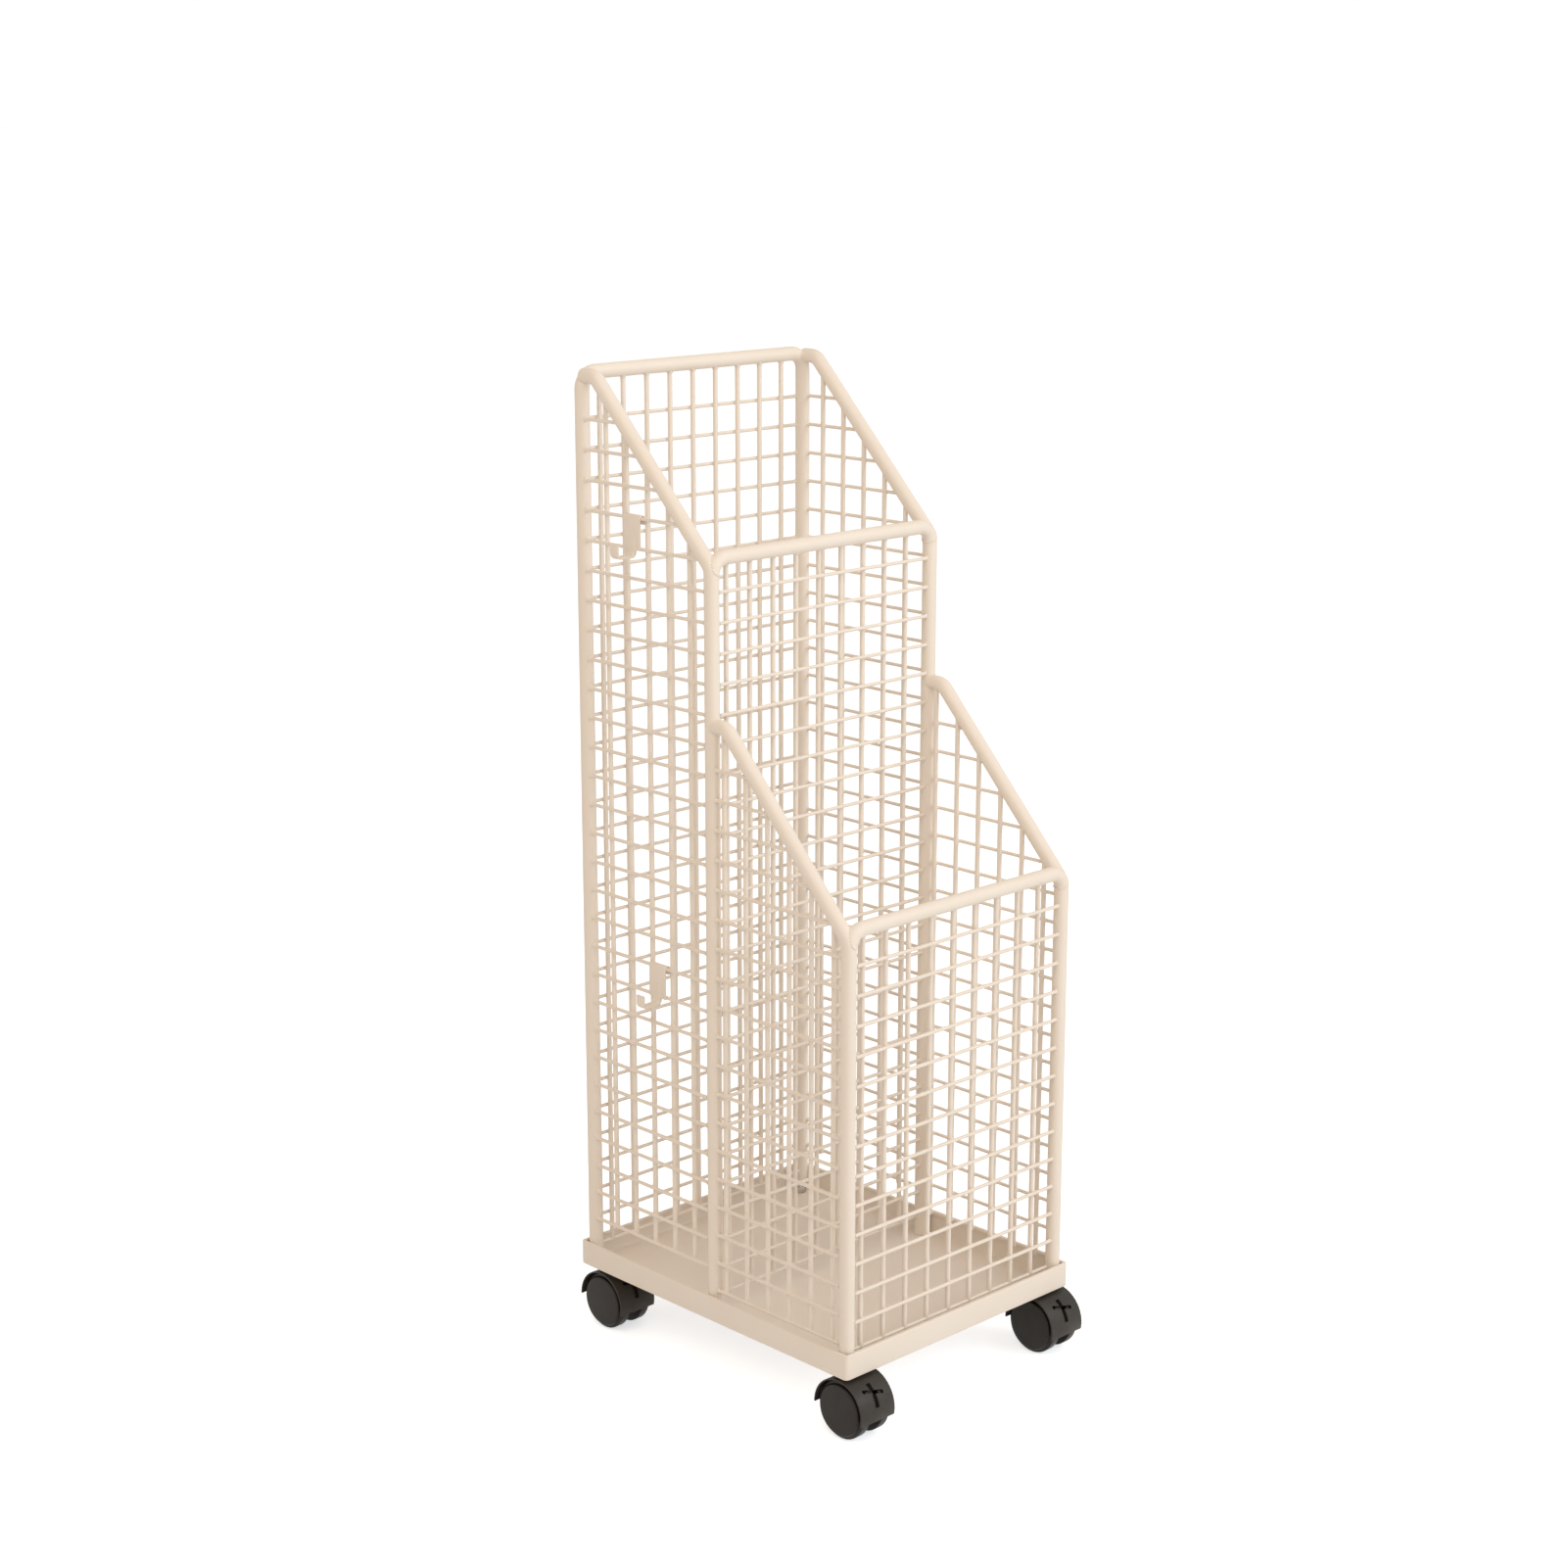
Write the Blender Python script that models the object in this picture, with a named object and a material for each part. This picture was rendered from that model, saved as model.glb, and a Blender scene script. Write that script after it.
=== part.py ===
# Rolling racket rack: a sheet tray on four twin-wheel casters, with two open wire bins.
# Metres, +Z up, front of the rack toward -Y, origin on the floor under the middle of its box.

import math

import bmesh
import bpy
from mathutils import Matrix, Vector

MM = 0.001

# Bays, between the axes of the posts
BAY_WIDTH = 252.1 * MM
BAY_DEPTH = 155.25 * MM

# Heights of the rail axes above the tray's rim
LOW_FRONT_RAIL = 350.5 * MM
LOW_SIDE_RAIL = 489.5 * MM
MIDDLE_RAIL = 624.2 * MM
BACK_RAIL = 759.8 * MM
TALL_SIDE_RAIL = 757.8 * MM

# Tube frames
TUBE_RADIUS = 6.25 * MM
TUBE_WALL = 1.2 * MM
TUBE_BEND = 14.0 * MM
SIDE_KNEE = 17.0 * MM
SIDE_CORNER_DROP = 7.6 * MM
TALL_RAIL_SEAT = 3.0 * MM
TUBE_SIDES = 12
BEND_STEP = 24.0

# Wires, square in section
WIRE = 2.6 * MM
CROSS_WIRE_OUT = 1.75 * MM
UPRIGHT_WIRE_IN = 1.4 * MM
EDGE_WIRE_IN = 0.3 * MM
PITCH_ACROSS = 25.9 * MM
PITCH_DEEP = 25.1 * MM
PITCH_UP = 25.0 * MM
FIRST_UPRIGHT_ACROSS = 17.0 * MM
FIRST_UPRIGHT_LOW_SIDE = 18.0 * MM
FIRST_UPRIGHT_TALL_SIDE = 27.4 * MM
FIRST_CROSS_PANEL = 22.0 * MM
FIRST_CROSS_LOW_SIDE = 3.9 * MM
FIRST_CROSS_TALL_SIDE = 22.5 * MM
BOTTOM_WIRE_DROP = 3.0 * MM
TOP_CLEAR = 15.0 * MM
SHORTEST_WIRE = 12.0 * MM
WIRE_TAIL = 1.5 * MM

# Tray
TRAY_LIFT = 54.0 * MM
TRAY_HEIGHT = 21.6 * MM
TRAY_OVERHANG = 9.8 * MM
SHEET = 1.2 * MM
RIM_HEM = 2.4 * MM
TRAY_CORNER = 4.0 * MM
TRAY_FOLD = 1.5 * MM
CORNER_STEPS = 3
SPIGOT_HEIGHT = 14.0 * MM
SPIGOT_TAPER = 1.5 * MM
SPIGOT_SIDES = 10

# Casters
SWIVEL_INSET_X = 19.4 * MM
SWIVEL_INSET_Y = 18.2 * MM
CASTER_TRAIL = 8.0 * MM
WHEEL_RADIUS = 25.0 * MM
WHEEL_FACE = 18.7 * MM
WHEEL_INNER_FACE = 6.8 * MM
WHEEL_SHOULDER = 2.0 * MM
WHEEL_SKIN = 1.6 * MM
WHEEL_SIDES = 22
WHEEL_GAP = 0.9 * MM
HOOD_WALL = 1.3 * MM
HOOD_HALF_WIDTH = 19.35 * MM
HOOD_EDGE = 1.2 * MM
HOOD_FRONT_LIP = -12.0
HOOD_REAR_LIP = 180.0
HOOD_STEPS = 16
WEB_HALF = 3.4 * MM
WEB_INSET = 3.0
HUB_RADIUS = 6.0 * MM
HUB_HALF = 6.2 * MM
SOCKET_RADIUS = 6.1 * MM
SOCKET_FOOT = 20.0 * MM
PAD_RADIUS = 6.45 * MM
PAD_DEPTH = 6.0 * MM
GROOVE_HALF = 2.2 * MM
GROOVE_DEPTH = 3.4 * MM
GROOVE_TOP = 58.0
GROOVE_FOOT = 14.0
BRANCH_LEFT = 10.0 * MM
BRANCH_LEFT_ANGLE = 47.0
BRANCH_RIGHT = 10.5 * MM
BRANCH_RIGHT_ANGLE = 35.0
BRANCH_WIDTH = 2.8 * MM
AXLE_RADIUS = 2.5 * MM
AXLE_END_GAP = 0.5 * MM
STEM_RADIUS = 4.0 * MM
STEM_NECK = 3.0 * MM
THREAD_RADIUS = 3.0 * MM
COLLAR_RADIUS = 7.5 * MM
RING_RADIUS = 5.0 * MM
RING_THICK = 1.0 * MM
STEM_BUTTON = 1.6 * MM
NUT_ACROSS_FLATS = 10.0 * MM
NUT_HEIGHT = 5.0 * MM
THREAD_ABOVE_NUT = 1.5 * MM

# Hooks
HOOK_WIDTH = 20.0 * MM
HOOK_SHEET = 1.5 * MM
HOOK_FLANGE = 5.0 * MM
HOOK_PLATE = 26.0 * MM
ARM_WIDTH = 9.0 * MM
ARM_SHEET = 2.0 * MM
ARM_ROOT = 12.0 * MM
ARM_DROP = 5.0 * MM
ARM_REACH = 19.0 * MM
ARM_TIP = 11.0 * MM
ARM_BEND = 4.0 * MM
UPPER_HOOK_GAP = 2
UPPER_HOOK_CROSS = 25
LOWER_HOOK_GAP = 1
LOWER_HOOK_CROSS = 10

# Clearance between touching pieces
GAP = 0.3 * MM

# Places worked out from the sizes above
POST_X = BAY_WIDTH / 2
RIM_Z = TRAY_LIFT + TRAY_HEIGHT
FLOOR_TOP = TRAY_LIFT + SHEET
FRONT_Y = -BAY_DEPTH
BACK_Y = BAY_DEPTH
TRAY_HALF_X = POST_X + TRAY_OVERHANG
TRAY_HALF_Y = BAY_DEPTH + TRAY_OVERHANG
RIM_LIP = TRAY_OVERHANG - TUBE_RADIUS - 2 * GAP
SWIVEL_X = TRAY_HALF_X - SWIVEL_INSET_X
SWIVEL_Y = TRAY_HALF_Y - SWIVEL_INSET_Y
HOOD_INNER = WHEEL_RADIUS + WHEEL_GAP
HOOD_OUTER = HOOD_INNER + HOOD_WALL
HOOD_TOP = WHEEL_RADIUS + HOOD_OUTER
STEM_FOOT = SOCKET_FOOT + GAP
FOOT_Z = FLOOR_TOP + GAP
HALF_WIRE = WIRE / 2

# The plate hook's faces, measured outward from the post plane
HOOK_PLATE_MID = CROSS_WIRE_OUT + HALF_WIRE + GAP + HOOK_SHEET / 2
HOOK_FLANGE_MID = CROSS_WIRE_OUT - HALF_WIRE - GAP - HOOK_SHEET / 2
HOOK_TIP = HOOK_PLATE_MID + ARM_REACH + ARM_SHEET / 2

# The middle of the whole box is moved onto the origin
FRONT_REACH = max(TRAY_HALF_Y, SWIVEL_Y + CASTER_TRAIL + HOOD_OUTER)
BACK_REACH = max(TRAY_HALF_Y, SWIVEL_Y - CASTER_TRAIL + HOOD_OUTER)
RIGHT_REACH = max(TRAY_HALF_X, SWIVEL_X + HOOD_HALF_WIDTH)
LEFT_REACH = max(RIGHT_REACH, POST_X + HOOK_TIP)
CENTRE_SHIFT = Vector(((LEFT_REACH - RIGHT_REACH) / 2, (FRONT_REACH - BACK_REACH) / 2, 0))

ALONG_X = Vector((1, 0, 0))
ALONG_Y = Vector((0, 1, 0))
ALONG_Z = Vector((0, 0, 1))


def clear_scene():
    for thing in list(bpy.data.objects):
        bpy.data.objects.remove(thing)


def make_material(name, color, roughness, metallic):
    material = bpy.data.materials.new(name)
    material.use_nodes = True
    shader = material.node_tree.nodes["Principled BSDF"]
    shader.inputs["Base Color"].default_value = (*color, 1)
    shader.inputs["Roughness"].default_value = roughness
    shader.inputs["Metallic"].default_value = metallic
    return material


def make_object(name, bm, material):
    bmesh.ops.recalc_face_normals(bm, faces=bm.faces)
    mesh = bpy.data.meshes.new(name)
    bm.to_mesh(mesh)
    bm.free()
    mesh.materials.append(material)
    thing = bpy.data.objects.new(name, mesh)
    bpy.context.scene.collection.objects.link(thing)
    return thing


def make_tool(bm):
    return make_object("tool", bm, None)


def combine(target, tool, operation):
    # Joins or cuts with an exact Boolean and keeps the result as the target's own mesh.
    cut = target.modifiers.new("combine", "BOOLEAN")
    cut.operation = operation
    cut.solver = "EXACT"
    cut.use_self = operation == "UNION"
    cut.object = tool
    bpy.context.view_layer.update()
    graph = bpy.context.evaluated_depsgraph_get()
    result = bpy.data.meshes.new_from_object(target.evaluated_get(graph))
    target.modifiers.clear()
    target.data = result
    bpy.data.objects.remove(tool)
    return target


def smooth(thing, degrees=35):
    thing.data.shade_smooth()
    thing.data.set_sharp_from_angle(angle=math.radians(degrees))
    return thing


def place(thing, parent, position):
    thing.parent = parent
    thing.location = position


def arc(center_a, center_b, radius, start, end, steps):
    # Points of an arc in a plane, as (a, b) pairs, angles in degrees.
    points = []
    for step in range(steps + 1):
        angle = math.radians(start + (end - start) * step / steps)
        points.append((center_a + radius * math.cos(angle), center_b + radius * math.sin(angle)))
    return points


def round_section(radius, sides):
    return [(radius * math.cos(2 * math.pi * k / sides), radius * math.sin(2 * math.pi * k / sides))
            for k in range(sides)]


def box_section(width, depth):
    half, deep = width / 2, depth / 2
    return [(half, deep), (-half, deep), (-half, -deep), (half, -deep)]


def sweep(bm, path, normal, section):
    # Carries a section along a flat path. Section pairs run across the path and along the normal.
    rings = []
    count = len(path)
    for i, point in enumerate(path):
        before = (point - path[i - 1]).normalized() if i > 0 else None
        after = (path[i + 1] - point).normalized() if i < count - 1 else None
        tangent = ((before or after) + (after or before)).normalized()
        stretch = 1 / max(0.2, tangent.dot(after or before))
        across = tangent.cross(normal).normalized() * stretch
        rings.append([bm.verts.new(point + across * a + normal * b) for a, b in section])
    size = len(section)
    for lower, upper in zip(rings, rings[1:]):
        for k in range(size):
            bm.faces.new((lower[k], lower[(k + 1) % size], upper[(k + 1) % size], upper[k]))
    bm.faces.new(list(reversed(rings[0])))
    bm.faces.new(rings[-1])


def revolve(profile, sides, turn=0.0):
    # Spins (radius, height) pairs about Z. Pairs at radius zero close on the axis.
    bm = bmesh.new()
    rings = []
    for radius, height in profile:
        if radius < 1e-9:
            rings.append([bm.verts.new((0, 0, height))])
            continue
        ring = []
        for k in range(sides):
            angle = turn + 2 * math.pi * k / sides
            ring.append(bm.verts.new((radius * math.cos(angle), radius * math.sin(angle), height)))
        rings.append(ring)
    closed = len(rings[0]) > 1 and len(rings[-1]) > 1
    pairs = list(zip(rings, rings[1:]))
    if closed:
        pairs.append((rings[-1], rings[0]))
    for first, second in pairs:
        for k in range(sides):
            m = (k + 1) % sides
            corners = [first[k % len(first)], first[m % len(first)],
                       second[m % len(second)], second[k % len(second)]]
            unique = []
            for corner in corners:
                if corner not in unique:
                    unique.append(corner)
            bm.faces.new(unique)
    return bm


def extrude_outline(bm, outline, axis, start, end):
    # Extrudes a closed outline of points along an axis.
    first = [bm.verts.new(point + axis * start) for point in outline]
    last = [bm.verts.new(point + axis * end) for point in outline]
    size = len(outline)
    for k in range(size):
        m = (k + 1) % size
        bm.faces.new((first[k], first[m], last[m], last[k]))
    bm.faces.new(list(reversed(first)))
    bm.faces.new(last)


def cylinder(bm, start, end, radius, sides):
    axis = (end - start).normalized()
    normal = ALONG_X if abs(axis.x) < 0.5 else ALONG_Z
    sweep(bm, [start, end], normal, round_section(radius, sides))


def rounded_rectangle(half_x, half_y, radius, height):
    points = []
    for sign_x, sign_y, start in ((1, 1, 0), (-1, 1, 90), (-1, -1, 180), (1, -1, 270)):
        center_x = sign_x * (half_x - radius)
        center_y = sign_y * (half_y - radius)
        for a, b in arc(center_x, center_y, radius, start, start + 90, CORNER_STEPS):
            points.append(Vector((a, b, height)))
    return points


def build_tray(paint):
    # One sheet pressing, drawn as rings of (inset from the outer face, height above the underside).
    top = TRAY_HEIGHT
    rings = [(TRAY_FOLD, 0), (TRAY_FOLD * 0.3, TRAY_FOLD * 0.3), (0, TRAY_FOLD), (0, top - RIM_HEM / 3),
             (RIM_HEM / 3, top), (RIM_LIP, top), (RIM_LIP, top - RIM_HEM), (SHEET, top - RIM_HEM),
             (SHEET, SHEET + TRAY_FOLD), (SHEET + TRAY_FOLD, SHEET)]
    bm = bmesh.new()
    loops = []
    for inset, height in rings:
        radius = max(TRAY_CORNER - inset, TRAY_CORNER / 4)
        outline = rounded_rectangle(TRAY_HALF_X - inset, TRAY_HALF_Y - inset, radius, TRAY_LIFT + height)
        loops.append([bm.verts.new(point) for point in outline])
    size = len(loops[0])
    for lower, upper in zip(loops, loops[1:]):
        for k in range(size):
            m = (k + 1) % size
            bm.faces.new((lower[k], lower[m], upper[m], upper[k]))
    bm.faces.new(loops[0])
    bm.faces.new(loops[-1])
    tray = make_object("tray", bm, paint)
    spigots = bmesh.new()
    for x, y in post_places():
        add_spigot(spigots, x, y)
    combine(tray, make_tool(spigots), "UNION")
    holes = bmesh.new()
    for x, y in caster_places():
        low, high = Vector((x, y, TRAY_LIFT - SHEET)), Vector((x, y, FLOOR_TOP + SHEET))
        cylinder(holes, low, high, THREAD_RADIUS + GAP, 10)
    combine(tray, make_tool(holes), "DIFFERENCE")
    return tray


def add_spigot(bm, x, y):
    radius = TUBE_RADIUS - TUBE_WALL - GAP
    profile = [(0, -SHEET / 2), (radius, -SHEET / 2), (radius, SPIGOT_HEIGHT - SPIGOT_TAPER),
               (radius - SPIGOT_TAPER, SPIGOT_HEIGHT), (0, SPIGOT_HEIGHT)]
    spigot = revolve(profile, SPIGOT_SIDES)
    mesh = bpy.data.meshes.new("spigot")
    spigot.transform(Matrix.Translation((x, y, FLOOR_TOP)))
    bmesh.ops.recalc_face_normals(spigot, faces=spigot.faces)
    spigot.to_mesh(mesh)
    spigot.free()
    bm.from_mesh(mesh)
    bpy.data.meshes.remove(mesh)


def post_places():
    return [(side * POST_X, y) for y in (FRONT_Y, 0, BACK_Y) for side in (-1, 1)]


def caster_places():
    return [(x * SWIVEL_X, y * SWIVEL_Y) for y in (-1, 1) for x in (-1, 1)]


def bent_path(corners):
    # Rounds the inner corners of a flat path given as (a, b) pairs.
    path = [Vector(corners[0])]
    for before, corner, after in zip(corners, corners[1:], corners[2:]):
        corner = Vector(corner)
        back = (Vector(before) - corner).normalized()
        ahead = (Vector(after) - corner).normalized()
        half = back.angle(ahead) / 2
        center = corner + (back + ahead).normalized() * (TUBE_BEND / math.sin(half))
        reach = TUBE_BEND / math.tan(half)
        first = corner + back * reach - center
        last = corner + ahead * reach - center
        start = math.degrees(math.atan2(first.y, first.x))
        turn = (math.degrees(math.atan2(last.y, last.x)) - start + 180) % 360 - 180
        steps = max(2, round(abs(turn) / BEND_STEP))
        path += [Vector(pair) for pair in arc(center.x, center.y, TUBE_BEND, start, start + turn, steps)]
    path.append(Vector(corners[-1]))
    return path


def across_path(corners, y):
    return [Vector((a, y, b)) for a, b in bent_path(corners)]


def side_path(corners, x):
    return [Vector((x, a, b)) for a, b in bent_path(corners)]


def tube(bm, path, normal, radius=TUBE_RADIUS):
    sweep(bm, path, normal, round_section(radius, TUBE_SIDES))


def back_corners():
    rail_z = RIM_Z + BACK_RAIL
    return [(-POST_X, FOOT_Z), (-POST_X, rail_z), (POST_X, rail_z), (POST_X, FOOT_Z)]


def rail_corners(rail_height):
    # A rail between two posts, with both ends bent down into them.
    rail_z = RIM_Z + rail_height
    end_z = rail_z - TUBE_BEND - TUBE_RADIUS
    return [(-POST_X, end_z), (-POST_X, rail_z), (POST_X, rail_z), (POST_X, end_z)]


def low_side_corners():
    # Level out of the middle post, down the slope, then down as the low front post.
    high = RIM_Z + LOW_SIDE_RAIL
    low = RIM_Z + LOW_FRONT_RAIL - SIDE_CORNER_DROP
    return [(0, high), (-SIDE_KNEE, high), (FRONT_Y, low), (FRONT_Y, FOOT_Z)]


def tall_side_corners():
    # Level off the front of the back tube, down the slope, then down as the middle post.
    high = RIM_Z + TALL_SIDE_RAIL
    end_y = BACK_Y - TUBE_RADIUS + TALL_RAIL_SEAT
    low = RIM_Z + MIDDLE_RAIL - SIDE_CORNER_DROP
    return [(end_y, high), (BACK_Y - SIDE_KNEE, high), (0, low), (0, FOOT_Z)]


def bar(bm, start, end, normal):
    sweep(bm, [start, end], normal, box_section(WIRE, WIRE))


def steps_between(first, pitch, limit):
    places = []
    while first + pitch * len(places) <= limit:
        places.append(first + pitch * len(places))
    return places


def cut_tubes(thing, paths):
    # Copes the ends round other tubes, with the clearance all round.
    fat = bmesh.new()
    for path, normal in paths:
        tube(fat, path, normal, TUBE_RADIUS + GAP)
    combine(thing, make_tool(fat), "DIFFERENCE")
    keep_largest(thing)


def bore_feet(thing, places):
    # Blind holes that take the tray's spigots.
    bores = bmesh.new()
    for x, y in places:
        foot = Vector((x, y, FLOOR_TOP))
        head = Vector((x, y, FLOOR_TOP + SPIGOT_HEIGHT + GAP))
        cylinder(bores, foot, head, TUBE_RADIUS - TUBE_WALL, SPIGOT_SIDES)
    combine(thing, make_tool(bores), "DIFFERENCE")


def panel_wires(bm, y, rail_height, outward, end_x, edges_fused):
    # Cross wires lie on the outward side of the tubes' plane, uprights on the inward side.
    cross_y = y + outward * CROSS_WIRE_OUT
    upright_y = y - outward * UPRIGHT_WIRE_IN
    edge_y = y - outward * EDGE_WIRE_IN
    bottom_z = RIM_Z - BOTTOM_WIRE_DROP
    for height in steps_between(FIRST_CROSS_PANEL, PITCH_UP, rail_height - TOP_CLEAR):
        z = RIM_Z + height
        bar(bm, Vector((-end_x, cross_y, z)), Vector((end_x, cross_y, z)), ALONG_Y)
    bar(bm, Vector((-end_x, upright_y, bottom_z)), Vector((end_x, upright_y, bottom_z)), ALONG_Y)
    uprights = steps_between(FIRST_UPRIGHT_ACROSS - POST_X, PITCH_ACROSS, POST_X - TUBE_RADIUS - WIRE)
    for x in uprights:
        fused = edges_fused and x in (uprights[0], uprights[-1])
        bar_y = edge_y if fused else upright_y
        bar(bm, Vector((x, bar_y, bottom_z)), Vector((x, bar_y, RIM_Z + rail_height)), ALONG_Y)


def build_back_panel(paint):
    # Both back posts and the top rail are one bent tube.
    bm = bmesh.new()
    tube(bm, across_path(back_corners(), BACK_Y), ALONG_Y)
    panel = make_object("back_panel", bm, paint)
    wires = bmesh.new()
    panel_wires(wires, BACK_Y, BACK_RAIL, 1, POST_X, False)
    combine(panel, make_tool(wires), "UNION")
    bore_feet(panel, [(-POST_X, BACK_Y), (POST_X, BACK_Y)])
    return smooth(panel)


def build_rail_panel(name, y, rail_height, side_corners, paint):
    # A rail coped to the side tubes, with its wires hanging between the posts.
    bm = bmesh.new()
    tube(bm, across_path(rail_corners(rail_height), y), ALONG_Y)
    panel = make_object(name, bm, paint)
    cut_tubes(panel, [(side_path(side_corners, side * POST_X), ALONG_X) for side in (-1, 1)])
    wires = bmesh.new()
    panel_wires(wires, y, rail_height, -1, POST_X - TUBE_RADIUS - GAP, True)
    combine(panel, make_tool(wires), "UNION")
    return smooth(panel)


def rail_height_at(rail, y):
    for (y0, z0), (y1, z1) in zip(rail, rail[1:]):
        if y0 <= y <= y1:
            return z0 + (z1 - z0) * (y - y0) / (y1 - y0)
    return rail[-1][1]


def rail_place_at(rail, z):
    # Where the rail's axis reaches a height, counted from the front.
    for (y0, z0), (y1, z1) in zip(rail, rail[1:]):
        if z0 <= z <= z1 and z1 > z0:
            return y0 + (y1 - y0) * (z - z0) / (z1 - z0)
    return rail[0][0]


def side_wires(bm, side, rail, behind_y, first_upright, first_cross):
    # Cross wires start on the side's own post or rail and stop short of the post behind.
    front_y, front_z = rail[0]
    top_z = rail[-1][1]
    cross_x = side * (POST_X + CROSS_WIRE_OUT)
    upright_x = side * (POST_X - UPRIGHT_WIRE_IN)
    high_end = behind_y - TUBE_RADIUS - GAP
    slant = math.atan2(rail[1][1] - front_z, rail[1][0] - front_y)
    under_rail = TUBE_RADIUS / math.cos(slant)
    for height in steps_between(first_cross, PITCH_UP, top_z - RIM_Z - TOP_CLEAR):
        z = RIM_Z + height
        if high_end - rail_place_at(rail, z + under_rail) > SHORTEST_WIRE:
            bar(bm, Vector((cross_x, rail_place_at(rail, z), z)), Vector((cross_x, high_end, z)), ALONG_X)
    foot_z = RIM_Z + first_cross - HALF_WIRE - WIRE_TAIL
    for y in steps_between(front_y + first_upright, PITCH_DEEP, high_end - WIRE):
        bar(bm, Vector((upright_x, y, foot_z)), Vector((upright_x, y, rail_height_at(rail, y))), ALONG_X)


def build_side(name, side, corners, behind, behind_y, first_upright, first_cross, paint):
    # One bent tube is the post in front and the sloping rail; it is coped to the tube behind.
    bm = bmesh.new()
    tube(bm, side_path(corners, side * POST_X), ALONG_X)
    panel = make_object(name, bm, paint)
    cut_tubes(panel, behind)
    wires = bmesh.new()
    rail = list(reversed(corners[:-1]))
    side_wires(wires, side, rail, behind_y, first_upright, first_cross)
    combine(panel, make_tool(wires), "UNION")
    bore_feet(panel, [(side * POST_X, rail[0][0])])
    return smooth(panel)


def keep_largest(thing):
    # Drops the offcuts that coping leaves beyond the corner tube.
    bm = bmesh.new()
    bm.from_mesh(thing.data)
    groups = []
    unseen = set(bm.verts)
    while unseen:
        group = set()
        stack = [unseen.pop()]
        while stack:
            vert = stack.pop()
            group.add(vert)
            for edge in vert.link_edges:
                other = edge.other_vert(vert)
                if other in unseen:
                    unseen.remove(other)
                    stack.append(other)
        groups.append(group)
    groups.sort(key=len)
    for group in groups[:-1]:
        bmesh.ops.delete(bm, geom=list(group), context="VERTS")
    bm.to_mesh(thing.data)
    bm.free()


def around_axle(x, radius, degrees):
    # A point about the axle: angle 0 is forward, 90 is up.
    angle = math.radians(degrees)
    return Vector((x, -radius * math.cos(angle), radius * math.sin(angle)))


def ring_sector(bm, half_width, inner, outer, start, end, steps, edge=0.0):
    # A curved strip about the axle, with its outer edges cut back where an edge is given.
    section = [(-half_width, inner), (half_width, inner), (half_width, outer - edge),
               (half_width - edge, outer), (-half_width + edge, outer), (-half_width, outer - edge)]
    if edge == 0.0:
        section = [(-half_width, inner), (half_width, inner), (half_width, outer), (-half_width, outer)]
    rings = []
    for step in range(steps + 1):
        angle = start + (end - start) * step / steps
        rings.append([bm.verts.new(around_axle(x, r, angle)) for x, r in section])
    size = len(section)
    for lower, upper in zip(rings, rings[1:]):
        for k in range(size):
            m = (k + 1) % size
            bm.faces.new((lower[k], lower[m], upper[m], upper[k]))
    bm.faces.new(list(reversed(rings[0])))
    bm.faces.new(rings[-1])


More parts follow.
